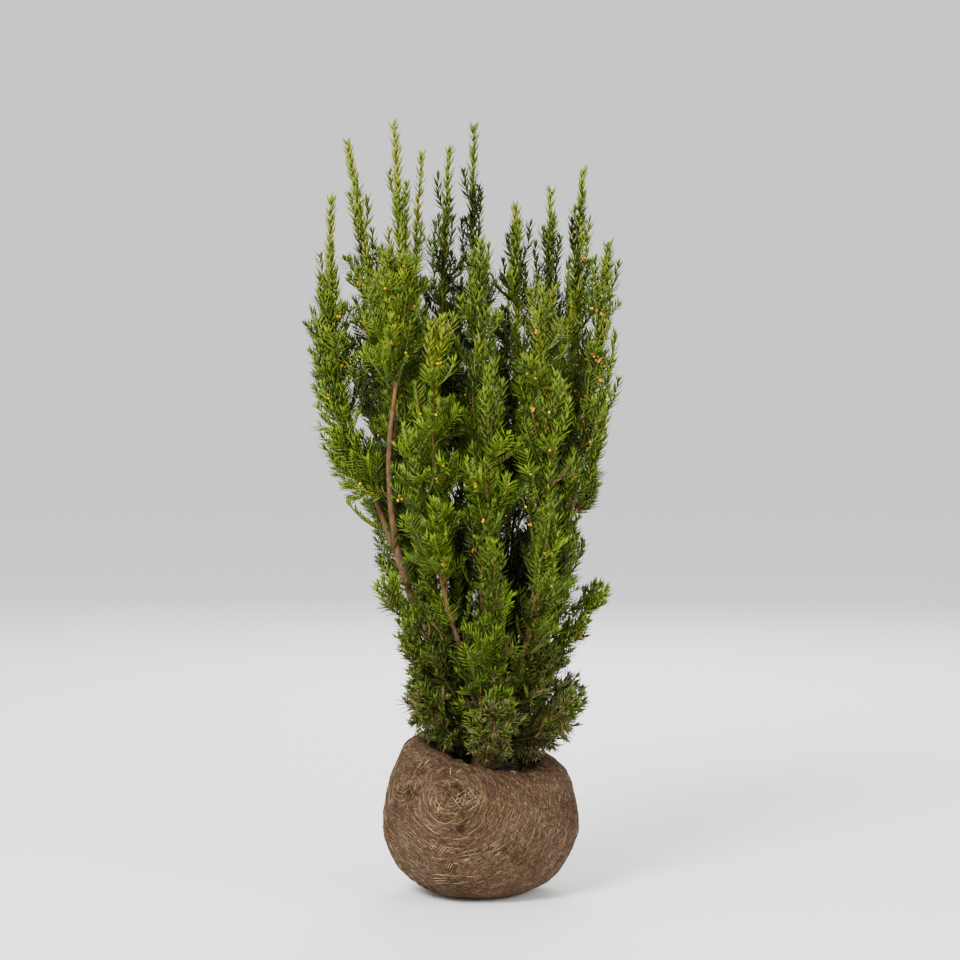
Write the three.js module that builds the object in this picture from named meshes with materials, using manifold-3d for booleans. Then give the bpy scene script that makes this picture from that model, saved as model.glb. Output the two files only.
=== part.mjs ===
// An upright hybrid yew, lifted from the nursery field with its root ball wrapped in burlap.
// Many thin stems rise from one short trunk, and each carries a plume of needles with a bare leader on top.
// Millimetres, +Z up, -Y towards the viewer. The origin is the middle of the root ball's flat underside.
import * as THREE from "three";
import { mergeVertices } from "three/addons/utils/BufferGeometryUtils.js";
import Module from "manifold-3d";

const wasm = await Module();
wasm.setup();

// Driving dimensions
const GAP = 0.3; // clear air between two pieces that meet
const SLIVER = 0.5; // in foliage, edges about this short are closed up
const SEED = 7; // sets every chance in the growth rule
const GOLDEN_ANGLE = THREE.MathUtils.degToRad(137.508);

// Root ball: its outline from the foot, over the shoulder and in to the soil round the trunk
const SOIL_TOP = 248;
const SOIL_FLAT = 62; // radius of the level soil that the trunk stands on
const BALL_OUTLINE = [
  [0, 0], [74, 0], [106, 8], [150, 38], [178, 82], [189, 128], [188, 168], [181, 206],
  [166, 238], [152, 250], [140, 259], [112, 269], [96, 266], [84, 255],
  [SOIL_FLAT, SOIL_TOP], [0, SOIL_TOP],
];
// The burlap's turned-over edge follows the shoulder just clear of it, then comes back over itself.
const LIP_OUTLINE = [
  [152, 250.6], [140, 259.6], [112, 269.6], [96, 266.6], [84, 255.6],
  [87, 268], [104, 279], [128, 276], [149, 261],
];
const BALL_SIDES = 20;
const RIM_TILT = 32; // how far the rim rises at its highest side, and sinks opposite
const RIM_HIGH_SIDE = THREE.MathUtils.degToRad(146);
const RIM_TILT_FROM = 150; // height where the tilt begins
const RIM_TILT_FULL = 262;
const SHOULDER_TILT = 0.45; // share of the tilt that the outer shoulder takes
// The burlap is bunched up on one shoulder: which way, how wide in radians, and how much higher
const BUNCH = { side: THREE.MathUtils.degToRad(-6), width: 0.5, rise: 20 };
// Foliage keeps above these heights: over the lip, over the shoulder, and beside the ball
const OVER_LIP = { within: 160, height: 286 };
const OVER_SHOULDER = { within: 200, height: 252 };
const BESIDE_BALL = 190;
// Gathers where the burlap is tied: where round the ball, how high, and how wide
const KNOTS = [[-109, 219, 24], [-144, 220, 18], [56, 200, 24]];
const KNOT_RISE = 9;

// Trunk: flared where it leaves the soil
const TRUNK_X = 12;
const TRUNK_TOP = 345;
const TRUNK_RADIUS = 19;
const ROOT_FLARE = 11;
const LIMB_RING_STEP = 140; // length of limb between two rings of corners

// Needles, larger than life so that the crown is as full as the real one
const NEEDLE_OUT = 42; // how far a needle stands out of its twig
const NEEDLE_FORWARD = 32; // how far it leans along it
const RING_STEP = 35; // length of twig that one needle stands on
const BLADE_HALF = 19; // from the middle of a spray to the notch between two needles
const BLADE_NARROW = 4; // the same where there is no room for more
const BLADE_RIDGE = 5; // how thick a spray is along its middle
const LEADER_NEEDLE_OUT = 25; // the leader's needles are shorter and closer
const LEADER_STEP = 31;
const LEADER_RADIUS = 3.6;
const LEADER_TIP_RADIUS = 1.5;
const LEADER_NEEDLES_FROM = 0.84; // share of the leafy part where the leader's own needles begin
const LEADER_PLAIN_RINGS = 3;
const NEEDLE_LIFT = 6; // how far a needle's tip lifts off the flat of its spray
const TWIG_CLEARANCE = 4; // between a twig and another mass's space or a limb
const TWIG_LENGTH_LOW = 2; // a mass's lowest twigs, as a share of its reach
const TWIG_LENGTH_HIGH = 1.5;
const MOST_LEAN = 0.78; // the sine of the widest angle between a twig and its leader
const LEAST_OUT = 8; // how far a twig spreads where it has hardly any room
const TWIG_ROOM_AT = [0.1, 0.22]; // above a twig's root, in shares of the leader, where its room is taken
const ROOM_STEP = 4;

// The dense heart of a mass, as shares of its reach from its foot up
const CORE_SWELL = [0.1, 0.24, 0.3, 0.25, 0.1];
const CORE_SIDES = 5;
const HEART_SHARE = 0.24; // twigs nearer than this to their leader are inside the heart, with no needles
const CORE_CLEARANCE = 4;
const HEART_FROM = 0.07; // share of the leader where the heart begins
const HEART_TO = 0.96; // and of its leafy part where it ends
const NUDGES = [0, 0.5, -0.5, 1, -1]; // turns that a twig may take to miss its neighbours
const MOST_CROSSINGS = 30; // faces that joining a twig may add, before it is left off as too tangled

// Stems: its name, its parent, where it leaves that as a share of the parent's length, the point it bends
// towards, its tip, and its radius at the foot and the tip
const LIMBS = [
  ["left", "trunk", 0.7, [-215, -60, 620], [-166, -138, 950], [9, 4.5]],
  ["left_outer", "stem_left", 0.5, [-196, -78, 760], [-240, -72, 890], [6, 4]],
  ["left_middle", "trunk", 0.9, [-106, -6, 540], [-142, -16, 780], [8, 5]],
  ["centre_left", "trunk", 0.96, [-58, 26, 540], [-70, 26, 740], [8, 5]],
  ["centre", "trunk", 1, [42, -6, 540], [56, -12, 720], [9, 5]],
  ["front", "trunk", 0.78, [10, -84, 440], [4, -98, 620], [7, 4.5]],
  ["front_left", "trunk", 0.5, [-20, -92, 430], [-58, -108, 560], [6.5, 4]],
  ["front_right", "trunk", 0.55, [86, -84, 440], [100, -108, 570], [6.5, 4]],
  ["right", "trunk", 0.84, [130, 10, 520], [158, 10, 780], [9, 5]],
  ["right_outer", "stem_right", 0.4, [150, -40, 600], [182, -44, 780], [6, 4]],
  ["rear", "trunk", 0.88, [6, 96, 520], [-6, 116, 760], [8, 5]],
  ["rear_left", "trunk", 0.66, [-90, 96, 480], [-124, 126, 720], [8, 4.5]],
  ["rear_right", "trunk", 0.6, [104, 92, 480], [124, 104, 740], [8, 5]],
].map(([name, parent, at, bend, tip, radii]) => ({ name: `stem_${name}`, parent, at, bend, tip, radii }));

// Foliage: the name of each mass, the limb it leaves and where (at 1 it goes on from the limb's tip), its
// leader's tip, how far its twigs reach, the share of the leader that has needles alone, and how many twigs
const MASSES = [
  // The top: one plume for each leader in the outline
  ["left_outer", "stem_left_outer", 1, [-286, -64, 1352], 62, 0.42, 6],
  ["left_back", "stem_left_middle", 1, [-259, 20, 1468], 76, 0.34, 7],
  ["left_tall", "stem_left", 1, [-163, -134, 1490], 74, 0.5, 6],
  ["left_inner", "stem_left", 0.9, [-112, -70, 1440], 66, 0.44, 5],
  ["centre_left", "stem_centre_left", 1, [-60, 42, 1455], 78, 0.32, 7],
  ["rear", "stem_rear", 1, [-12, 130, 1510], 80, 0.38, 6],
  ["front", "stem_front", 1, [2, -120, 1270], 80, 0.2, 6],
  ["centre", "stem_centre", 1, [69, -14, 1342], 78, 0.24, 6],
  ["right_back", "stem_rear_right", 1, [140, 104, 1380], 78, 0.28, 6],
  ["right_tall", "stem_right", 1, [201, 16, 1413], 66, 0.32, 6],
  ["right_outer", "stem_right_outer", 1, [247, -50, 1265], 48, 0.28, 6],
  ["right_front", "stem_front_right", 1, [118, -140, 1180], 80, 0.18, 7],
  ["rear_left", "stem_rear_left", 1, [-150, 150, 1330], 84, 0.34, 7],
  ["rear_far", "stem_rear", 0.7, [64, 210, 1270], 84, 0.3, 7],
  ["rear_right", "stem_rear_right", 0.8, [180, 140, 1250], 70, 0.3, 6],
  // The middle: plumes that lean out from the sides of the stems
  ["right_spray", "stem_right_outer", 0.9, [264, -6, 1096], 32, 0.48, 4],
  ["mid_left_outer", "stem_left", 0.75, [-276, -112, 965], 62, 0.12, 6],
  ["mid_left_back", "stem_left_middle", 0.6, [-226, 60, 1010], 66, 0.12, 5],
  ["mid_front_left", "stem_front_left", 1, [-72, -184, 1123], 86, 0.18, 7],
  ["mid_front", "stem_front", 0.7, [26, -204, 1040], 86, 0.18, 7],
  ["mid_front_right", "stem_front_right", 0.72, [146, -168, 1020], 72, 0.16, 5],
  ["inner_left", "stem_centre_left", 0.5, [-36, -60, 905], 72, 0.12, 4],
  ["inner_right", "stem_centre", 0.4, [90, -62, 895], 72, 0.12, 4],
  ["mid_left_low", "stem_left", 0.14, [-168, -124, 600], 46, 0.1, 4],
  ["mid_right", "stem_right_outer", 0.3, [170, -84, 850], 54, 0.14, 6],
  ["mid_right_low", "stem_right", 0.26, [222, -52, 582], 42, 0.1, 4],
  ["mid_rear_right", "stem_rear_right", 0.5, [160, 92, 930], 66, 0.14, 5],
  ["mid_rear", "stem_rear", 0.5, [30, 200, 920], 84, 0.14, 5],
  ["mid_far_left", "stem_rear_left", 0.8, [-200, 120, 1140], 78, 0.14, 6],
].map(([name, limb, at, tip, reach, bare, twigs]) => (
  { name: `foliage_${name}`, limb, at, tip, reach, bare, twigs }
));

// The low plumes: a ring of them round the trunk, between the stems
const LOW_RING = {
  count: 7, first: -38, shift: 12, from: 0.62, foot: 330, out: 68,
  tipRadius: 168, tipTop: 700, reach: 84, twigs: 6,
};
// The skirt: short plumes that lie out over the rim of the ball
const SKIRT_RING = {
  count: 6, first: -30, shift: 18, from: 0.42, foot: 318, out: 92,
  tipRadius: 150, tipTop: 400, reach: 60, twigs: 4,
};
const SKIRT_SINK = 30; // how much lower the skirt lies on the ball's low side
const RING_BARE = 0.15; // share of a ring mass's leader that has needles alone

const COLOURS = { burlap: "#6e5742", bark: "#7a5236", needles: "#4d5a1c", freshNeedles: "#77852c" };
const FRESH_FROM = 0.22; // a mass with more of its leader bare than this has the year's fresh needles

const V = (x, y, z) => new THREE.Vector3(x, y, z);
const UP = V(0, 0, 1);
const mix = THREE.MathUtils.lerp;
const smooth = THREE.MathUtils.smoothstep;

// A number from 0 to 1 that depends only on what it is asked for, so the same twig always grows the same way.
function chance(plant, twig, trait) {
  const wave = Math.sin(plant * 12.9898 + twig * 78.233 + trait * 37.719 + SEED) * 43758.5453;
  return wave - Math.floor(wave);
}

function geometryFrom(points, triangles) {
  const positions = new Float32Array(points.flatMap((point) => point.toArray()));
  return new THREE.BufferGeometry()
    .setAttribute("position", new THREE.BufferAttribute(positions, 3))
    .setIndex(triangles);
}

// A closed geometry as a solid, turned to face outwards.
function solidOf(geometry) {
  const bare = geometry.clone();
  for (const name of Object.keys(bare.attributes)) {
    if (name !== "position") bare.deleteAttribute(name);
  }
  const merged = mergeVertices(bare, 1e-4);
  const corners = merged.index.array;
  const kept = [];
  for (let i = 0; i < corners.length; i += 3) {
    const [a, b, c] = [corners[i], corners[i + 1], corners[i + 2]];
    if (a !== b && b !== c && c !== a) kept.push(a, b, c);
  }
  const build = (triangles) => new wasm.Manifold(
    new wasm.Mesh({
      numProp: 3,
      vertProperties: new Float32Array(merged.attributes.position.array),
      triVerts: new Uint32Array(triangles),
    }),
  );
  const solid = build(kept);
  return solid.volume() > 0 ? solid : build(kept.reverse());
}

// The largest body of a solid as a geometry: a scrap that a cut leaves loose is dropped.
function geometryOf(solid) {
  const bodies = solid.decompose().sort((a, b) => b.volume() - a.volume());
  const mesh = bodies[0].getMesh();
  const positions = new Float32Array(mesh.numVert * 3);
  for (let i = 0; i < mesh.numVert; i++) {
    for (let axis = 0; axis < 3; axis++) {
      positions[i * 3 + axis] = mesh.vertProperties[i * mesh.numProp + axis];
    }
  }
  return new THREE.BufferGeometry()
    .setAttribute("position", new THREE.BufferAttribute(positions, 3))
    .setIndex(new THREE.BufferAttribute(new Uint32Array(mesh.triVerts), 1));
}

// True where every edge has just two faces and the body stays whole, also with touching corners taken as one.
function closes(solid) {
  const merged = mergeVertices(geometryOf(solid), 1e-3);
  const corners = merged.index.array;
  if (solidOf(merged).decompose().length !== 1) return false;
  const uses = new Map();
  for (let i = 0; i < corners.length; i += 3) {
    for (let k = 0; k < 3; k++) {
      const ends = [corners[i + k], corners[i + ((k + 1) % 3)]].sort((a, b) => a - b).join(" ");
      uses.set(ends, (uses.get(ends) ?? 0) + 1);
    }
  }
  return [...uses.values()].every((count) => count === 2);
}

// A closed tube, with a ring of corners at each station: { centre, radius, along, side } or { corners }.
// needleTip(ring, face) gives the tip of a needle that stands on that face, or null for a plain face.
function tube(stations, corners, needleTip = () => null) {
  const points = [];
  const triangles = [];
  for (const { centre, radius, along, side, corners: given } of stations) {
    if (given) {
      points.push(...given);
      continue;
    }
    const over = V().crossVectors(along, side);
    for (let i = 0; i < corners; i++) {
      const angle = ((i + 0.25) / corners) * 2 * Math.PI;
      const corner = centre.clone().addScaledVector(side, Math.cos(angle) * radius);
      points.push(corner.addScaledVector(over, Math.sin(angle) * radius));
    }
  }
  for (let ring = 0; ring < stations.length - 1; ring++) {
    for (let face = 0; face < corners; face++) {
      const next = (face + 1) % corners;
      const [low, high] = [ring * corners, (ring + 1) * corners];
      const quad = [low + face, low + next, high + next, high + face];
      const tip = needleTip(ring, face);
      if (tip) {
        points.push(tip);
        quad.forEach((corner, i) => triangles.push(corner, quad[(i + 1) % 4], points.length - 1));
      } else {
        triangles.push(quad[0], quad[1], quad[2], quad[0], quad[2], quad[3]);
      }
    }
  }
  const last = (stations.length - 1) * corners;
  for (let i = 1; i < corners - 1; i++) {
    triangles.push(0, i + 1, i);
    triangles.push(last, last + i, last + i + 1);
  }
  return geometryFrom(points, triangles);
}

// Stations along a curve, with a side that turns as little as it can.
function stationsAlong(curve, count, radiusAt, firstSide) {
  const stations = [];
  let side = firstSide.clone();
  for (let i = 0; i < count; i++) {
    const share = i / (count - 1);
    const along = curve.getTangent(share);
    side = side.clone().addScaledVector(along, -side.dot(along)).normalize();
    stations.push({ centre: curve.getPoint(share), radius: radiusAt(share), along, side });
  }
  return stations;
}

// How much higher the rim stands on one side of the ball than on the mean.
function bunched(angle) {
  return BUNCH.rise * Math.exp(-(((angle - BUNCH.side) / BUNCH.width) ** 2));
}

// The root ball and the rolled lip share one warp, so the lip keeps to the shoulder.
function warped({ x, y, z }) {
  const radius = Math.hypot(x, y);
  const angle = Math.atan2(y, x);
  const outer = smooth(radius, SOIL_FLAT, SOIL_FLAT + 40);
  const lumps = 0.022 * Math.sin(2 * angle + 0.6)
    + 0.014 * Math.sin(3 * angle + z / 60)
    + 0.01 * Math.sin(5 * angle - z / 45);
  const squash = 1 + lumps * outer;
  const held = mix(1, SHOULDER_TILT, smooth(radius, 130, 176));
  const rise = RIM_TILT * smooth(z, RIM_TILT_FROM, RIM_TILT_FULL);
  const tilt = rise * held * outer * Math.cos(angle - RIM_HIGH_SIDE);
  const bunch = bunched(angle) * smooth(z, 180, 245) * smooth(radius, 96, 136);
  return V(x * squash, y * squash, z + tilt + bunch);
}

function turned(outline) {
  const profile = outline.map(([radius, height]) => new THREE.Vector2(radius, height));
  const geometry = new THREE.LatheGeometry(profile, BALL_SIDES).rotateX(Math.PI / 2);
  const place = geometry.attributes.position;
  for (let i = 0; i < place.count; i++) place.setXYZ(i, ...warped(V().fromBufferAttribute(place, i)));
  return geometry;
}

// A gather of burlap: a low dome that lies on the ball's side.
function makeKnot([degrees, height, size]) {
  const angle = THREE.MathUtils.degToRad(degrees);
  const radius = mix(186, 175, smooth(height, 168, 222));
  const centre = warped(V(Math.cos(angle) * radius, Math.sin(angle) * radius, height));
  const dome = new THREE.SphereGeometry(1, 8, 4).scale(size, KNOT_RISE, size).rotateZ(angle - Math.PI / 2);
  return solidOf(dome.translate(...centre));
}

function makeBall() {
  return KNOTS.reduce((ball, knot) => ball.add(makeKnot(knot)), solidOf(turned(BALL_OUTLINE)));
}

function makeLip() {
  return solidOf(turned([...LIP_OUTLINE, LIP_OUTLINE[0]]));
}

// Limbs: each is one bent, tapering tube. spare widens it, to cut its neighbours clear of it.
const limbCurves = new Map();
const limbRadii = new Map();

function planLimbs() {
  const foot = V(TRUNK_X, 0, SOIL_TOP + GAP);
  limbCurves.set("trunk", new THREE.LineCurve3(foot, V(TRUNK_X, 0, TRUNK_TOP)));
  limbRadii.set("trunk", [TRUNK_RADIUS + 3, TRUNK_RADIUS - 1]);
  for (const { name, parent, at, bend, tip, radii } of LIMBS) {
    const start = limbCurves.get(parent).getPoint(at);
    limbCurves.set(name, new THREE.QuadraticBezierCurve3(start, V(...bend), V(...tip)));
    limbRadii.set(name, radii);
  }
}

function makeLimb(name, spare = 0) {
  const [thick, thin] = limbRadii.get(name);
  const isTrunk = name === "trunk";
  const radiusAt = (share) => {
    const flare = isTrunk ? ROOT_FLARE * (1 - share) ** 3 : 0;
    return mix(thick, thin, share) + flare + spare;
  };
  const curve = limbCurves.get(name);
  const rings = isTrunk ? 5 : Math.max(3, Math.round(curve.getLength() / LIMB_RING_STEP) + 1);
  return solidOf(tube(stationsAlong(curve, rings, radiusAt, V(1, 0, 0)), isTrunk ? 10 : 6));
}

// The growth rule. Each mass has one leader, and its space is what lies nearer to that leader than to any
// other, measured in shares of each mass's reach.
const LEADER_STEPS = 10; // straight pieces that stand for a leader or a limb when distances are taken
const LEADER_BEND = 0.4; // share of its span that a leader goes before it turns up

function leaderCurve({ limb, at, tip, out }) {
  const curve = limbCurves.get(limb);
  const heading = curve.getTangent(at);
  const start = curve.getPoint(at);
  if (at === 1) start.addScaledVector(heading, GAP);
  const end = V(...tip);
  const span = end.clone().sub(start);
  const bend = start.clone();
  if (out) bend.add(V(...out));
  else if (at === 1) bend.addScaledVector(heading, span.length() * LEADER_BEND);
  else bend.add(V(span.x, span.y, 0).multiplyScalar(LEADER_BEND));
  return new THREE.QuadraticBezierCurve3(start, bend, end);
}

// The masses of a ring round the trunk, worked out from its few sizes.
function ringOf(prefix, ring, sink) {
  return Array.from({ length: ring.count }, (_, i) => {
    const angle = THREE.MathUtils.degToRad(ring.first + (360 / ring.count) * i);
    const low = sink * 0.5 * (1 - Math.cos(angle - RIM_HIGH_SIDE));
    const [cos, sin] = [Math.cos(angle), Math.sin(angle)];
    return {
      name: `${prefix}_${i + 1}`,
      limb: "trunk",
      at: ring.from,
      out: [cos * ring.out, sin * ring.out, ring.foot - mix(SOIL_TOP, TRUNK_TOP, ring.from) - low * 0.6],
      tip: [TRUNK_X + ring.shift + cos * ring.tipRadius, sin * ring.tipRadius, ring.tipTop - low],
      reach: ring.reach,
      bare: RING_BARE,
      twigs: ring.twigs,
    };
  });
}

function distanceToPath(point, path) {
  let nearest = Infinity;
  const line = new THREE.Line3();
  const foot = V();
  for (let i = 0; i < path.length - 1; i++) {
    line.set(path[i], path[i + 1]).closestPointToPoint(point, true, foot);
    nearest = Math.min(nearest, foot.distanceTo(point));
  }
  return nearest;
}

// True where a point lies in this mass's space: within its reach, nearest its own leader, off limbs and ball.
function inSpace(mass, point) {
  const own = distanceToPath(point, mass.path);
  if (own > mass.reach) return false;
  for (const other of mass.neighbours) {
    const theirs = distanceToPath(point, other.path);
    if (theirs * mass.reach - own * other.reach < TWIG_CLEARANCE * (mass.reach + other.reach)) return false;
  }
  for (const [name, path] of limbPaths) {
    if (distanceToPath(point, path) < limbRadii.get(name)[0] + TWIG_CLEARANCE) return false;
  }
  const radius = Math.hypot(point.x, point.y);
  if (radius > OVER_SHOULDER.within) return point.z > BESIDE_BALL;
  const angle = Math.atan2(point.y, point.x);
  const rim = RIM_TILT * Math.cos(angle - RIM_HIGH_SIDE) + bunched(angle);
  return point.z - rim > (radius > OVER_LIP.within ? OVER_SHOULDER : OVER_LIP).height;
}

// How far a mass's own space reaches from a point in one direction.
function roomFrom(mass, point, outward) {
  const isFree = (room) => inSpace(mass, point.clone().addScaledVector(outward, room));
  let room = 0;
  while (room < mass.reach && isFree(room + ROOM_STEP)) room += ROOM_STEP;
  return room;
}

// A twig with its needles: a blade with a ridge along its back and a tooth for each needle on both edges.
// It spreads as far as its room allows, turns up beside the leader, and stops where it would leave the space.
function makeSpray(mass, { start, axis, outward, length, out }) {
  const steps = Math.max(3, Math.round(length / RING_STEP));
  const rise = Math.sqrt(length ** 2 - out ** 2);
  const end = start.clone().addScaledVector(outward, out).addScaledVector(axis, rise);
  const bend = start.clone().addScaledVector(outward, out * 0.8).addScaledVector(axis, length * 0.3);
  const curve = new THREE.QuadraticBezierCurve3(start, bend, end);
  const across = V().crossVectors(axis, outward).normalize();
  const narrowing = (share) => mix(1, 0.6, share ** 2);
  const stations = stationsAlong(curve, steps + 1, narrowing, across);
  const points = [];
  const triangles = [];
  const put = (point) => points.push(point) - 1;
  const quad = (a, b, c, d) => triangles.push(a, b, c, a, c, d);
  let before = null;
  for (const [step, { centre, radius, along, side }] of stations.entries()) {
    if (step > 1 && !inSpace(mass, centre)) break;
    const isLast = step === steps || (step > 0 && !inSpace(mass, stations[step + 1].centre));
    const lift = V().crossVectors(side, along);
    const edgeAt = (width) => centre.clone().addScaledVector(side, width);
    const here = {
      ridge: put(centre.clone().addScaledVector(lift, BLADE_RIDGE * radius)),
      edges: [-1, 1].map((hand) => {
        const wide = edgeAt(hand * BLADE_HALF * radius);
        return put(step > 0 && !isLast && inSpace(mass, wide) ? wide : edgeAt(hand * BLADE_NARROW));
      }),
    };
    if (before) {
      const [left, right] = [0, 1].map((i) => {
        const hand = i * 2 - 1;
        const from = stations[step - 1];
        const tip = from.centre.clone().addScaledVector(from.along, NEEDLE_FORWARD + RING_STEP * 0.5);
        tip.addScaledVector(from.side, hand * NEEDLE_OUT * from.radius).addScaledVector(lift, NEEDLE_LIFT);
        const buried = distanceToPath(from.centre, mass.path) < HEART_SHARE * mass.reach;
        return !buried && inSpace(mass, tip) ? put(tip) : null;
      });
      for (const [i, tip] of [left, right].entries()) {
        const face = (a, b, c) => (i === 0 ? triangles.push(a, b, c) : triangles.push(a, c, b));
        if (tip === null) {
          face(before.ridge, before.edges[i], here.edges[i]);
        } else {
          face(before.ridge, before.edges[i], tip);
          face(before.ridge, tip, here.edges[i]);
          face(before.edges[i], here.edges[i], tip);
        }
        face(before.ridge, here.edges[i], here.ridge);
      }
      quad(before.edges[0], before.edges[1], here.edges[1], here.edges[0]);
    } else {
      triangles.push(here.ridge, here.edges[1], here.edges[0]);
    }
    before = { ...here, step };
  }
  if (!before || before.step < 2) return null;
  const last = stations[before.step];
  const far = last.centre.clone().addScaledVector(last.along, NEEDLE_FORWARD);
  const point = put(inSpace(mass, far) ? far : last.centre.clone().addScaledVector(last.along, BLADE_RIDGE));
  triangles.push(before.ridge, before.edges[0], point, before.ridge, point, before.edges[1]);
  triangles.push(before.edges[0], before.edges[1], point);
  return solidOf(geometryFrom(points, triangles));
}

// The leader: a slim core with a needle on every face from where the twigs thin out.
function makeLeader(mass) {
  const { curve, bare } = mass;
  const length = curve.getLength();
  const from = (1 - bare) * LEADER_NEEDLES_FROM;
  const to = 1 - NEEDLE_FORWARD / length;
  const rings = Math.round((length * (1 - from)) / LEADER_STEP);
  const shares = [
    ...Array.from({ length: LEADER_PLAIN_RINGS }, (_, i) => (from * i) / LEADER_PLAIN_RINGS),
    ...Array.from({ length: rings + 1 }, (_, i) => mix(from, to, i / rings)),
    1,
  ];
  let side = V(Math.cos(mass.turn), Math.sin(mass.turn), 0);
  const stations = shares.map((share) => {
    const along = curve.getTangent(share);
    side = side.clone().addScaledVector(along, -side.dot(along)).normalize();
    side.applyAxisAngle(along, 0.35);
    const radius = share === 1 ? 0.5 : mix(LEADER_RADIUS, LEADER_TIP_RADIUS, share);
    return { centre: curve.getPoint(share), radius, along, side };
  });
  const needleTip = (ring, face) => {
    if (ring < LEADER_PLAIN_RINGS || ring >= stations.length - 2 || (ring + face) % 3 === 0) return null;
    const { centre, along, side: across } = stations[ring];
    const angle = ((face + 0.75) / 3) * 2 * Math.PI;
    const over = V().crossVectors(along, across);
    const outward = across.clone().multiplyScalar(Math.cos(angle)).addScaledVector(over, Math.sin(angle));
    const out = LEADER_NEEDLE_OUT * (ring > stations.length - 5 ? 0.8 : 1);
    const tip = centre.clone().addScaledVector(outward, out);
    tip.addScaledVector(along, NEEDLE_FORWARD + LEADER_STEP * 0.3);
    return inSpace(mass, tip) ? tip : null;
  };
  return solidOf(tube(stations, 3, needleTip));
}

// How far the heart of a mass reaches from its leader at one height, one way, clear of every neighbour.
function heartAt(mass, share, outward) {
  const risen = THREE.MathUtils.clamp((share - HEART_FROM) / (heartTo(mass) - HEART_FROM), 0, 1);
  const along = risen * (CORE_SWELL.length - 1);
  const below = Math.min(CORE_SWELL.length - 2, Math.floor(along));
  const swell = mix(CORE_SWELL[below], CORE_SWELL[below + 1], along - below);
  const room = roomFrom(mass, mass.curve.getPoint(share), outward) - CORE_CLEARANCE;
  return Math.max(LEADER_RADIUS + 1, Math.min(swell * mass.reach, room));
}

function heartTo({ bare }) {
  return (1 - bare) * HEART_TO;
}

// The heart itself: a spindle with a ring of corners at each of its heights.
function makeCore(mass) {
  const stations = CORE_SWELL.map((_, i) => {
    const share = mix(HEART_FROM, heartTo(mass), i / (CORE_SWELL.length - 1));
    const centre = mass.curve.getPoint(share);
    const along = mass.curve.getTangent(share);
    const side = V(Math.cos(mass.turn), Math.sin(mass.turn), 0);
    side.addScaledVector(along, -side.dot(along)).normalize();
    const over = V().crossVectors(along, side);
    const corners = Array.from({ length: CORE_SIDES }, (_, k) => {
      const angle = (k / CORE_SIDES) * 2 * Math.PI;
      const outward = side.clone().multiplyScalar(Math.cos(angle)).addScaledVector(over, Math.sin(angle));
      return centre.clone().addScaledVector(outward, heartAt(mass, share, outward));
    });
    return { corners };
  });
  return solidOf(tube(stations, CORE_SIDES));
}

// Twigs leave the leader by the golden angle, turned towards the open side, long below and short above.
function twigPlan(mass, twig, nudge) {
  const share = mix(0.06, 1 - mass.bare, (twig + 0.5 * chance(mass.index, twig, 1)) / mass.twigs);
  const spin = ((mass.turn + twig * GOLDEN_ANGLE + nudge) % (2 * Math.PI)) - Math.PI;
  const azimuth = mass.open + spin * mass.spread;
  const axis = mass.curve.getTangent(share);
  const outward = V(Math.cos(azimuth), Math.sin(azimuth), 0);
  outward.addScaledVector(axis, -outward.dot(axis)).normalize();
  const lengthShare = mix(TWIG_LENGTH_LOW, TWIG_LENGTH_HIGH, share);
  const length = mass.reach * lengthShare * mix(0.88, 1.12, chance(mass.index, twig, 3));
  const roomAt = (rise) => roomFrom(mass, mass.curve.getPoint(Math.min(1, share + rise)), outward);
  const room = Math.min(...TWIG_ROOM_AT.map(roomAt));
  const sunk = heartAt(mass, share, outward) * 0.6;
  const free = Math.max(LEAST_OUT, room - NEEDLE_OUT * 0.3 - sunk);
  const out = Math.min(length * MOST_LEAN, free * mix(0.85, 1, chance(mass.index, twig, 2)));
  const start = mass.curve.getPoint(share).addScaledVector(outward, sunk);
  return { start, axis, outward, length, out };
}

// Each twig is tried at a few turns about the leader, and takes the one where it crosses the fewest others.
function makeMass(mass) {
  let solid = makeLeader(mass).add(makeCore(mass));
  for (let twig = 0; twig < mass.twigs; twig++) {
    let best = null;
    for (const nudge of NUDGES) {
      const made = makeSpray(mass, twigPlan(mass, twig, nudge));
      if (!made) continue;
      const grown = solid.add(made).simplify(SLIVER);
      const crossings = grown.numTri() - solid.numTri() - made.numTri();
      const isWorse = crossings > MOST_CROSSINGS || (best && crossings >= best.crossings);
      if (!isWorse && closes(grown.subtract(limbSpace))) best = { grown, crossings };
    }
    if (best) solid = best.grown;
  }
  return solid.subtract(limbSpace);
}

// Everything is planned before anything is grown, so that each mass knows its neighbours.
planLimbs();
const limbSpace = [...limbCurves.keys()]
  .map((name) => makeLimb(name, GAP))
  .reduce((all, limb) => all.add(limb));
const limbPaths = new Map([...limbCurves].map(([name, curve]) => [name, curve.getPoints(LEADER_STEPS)]));
const masses = [
  ...MASSES,
  ...ringOf("foliage_low", LOW_RING, 0),
  ...ringOf("foliage_skirt", SKIRT_RING, SKIRT_SINK),
];
masses.forEach((mass, index) => {
  mass.index = index + 1;
  mass.curve = leaderCurve(mass);
  mass.path = mass.curve.getPoints(LEADER_STEPS);
  mass.turn = chance(mass.index, 0, 0) * 2 * Math.PI;
  mass.open = Math.atan2(mass.tip[1], mass.tip[0] - TRUNK_X);
  mass.spread = mix(1, 0.72, smooth(Math.hypot(mass.tip[0], mass.tip[1]), 80, 220));
});
for (const mass of masses) {
  const clearOf = (other) => Math.min(...mass.path.map((point) => distanceToPath(point, other.path)));
  mass.neighbours = masses.filter((other) => other !== mass && clearOf(other) < mass.reach + other.reach);
}

const plant = new THREE.Group();

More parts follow.
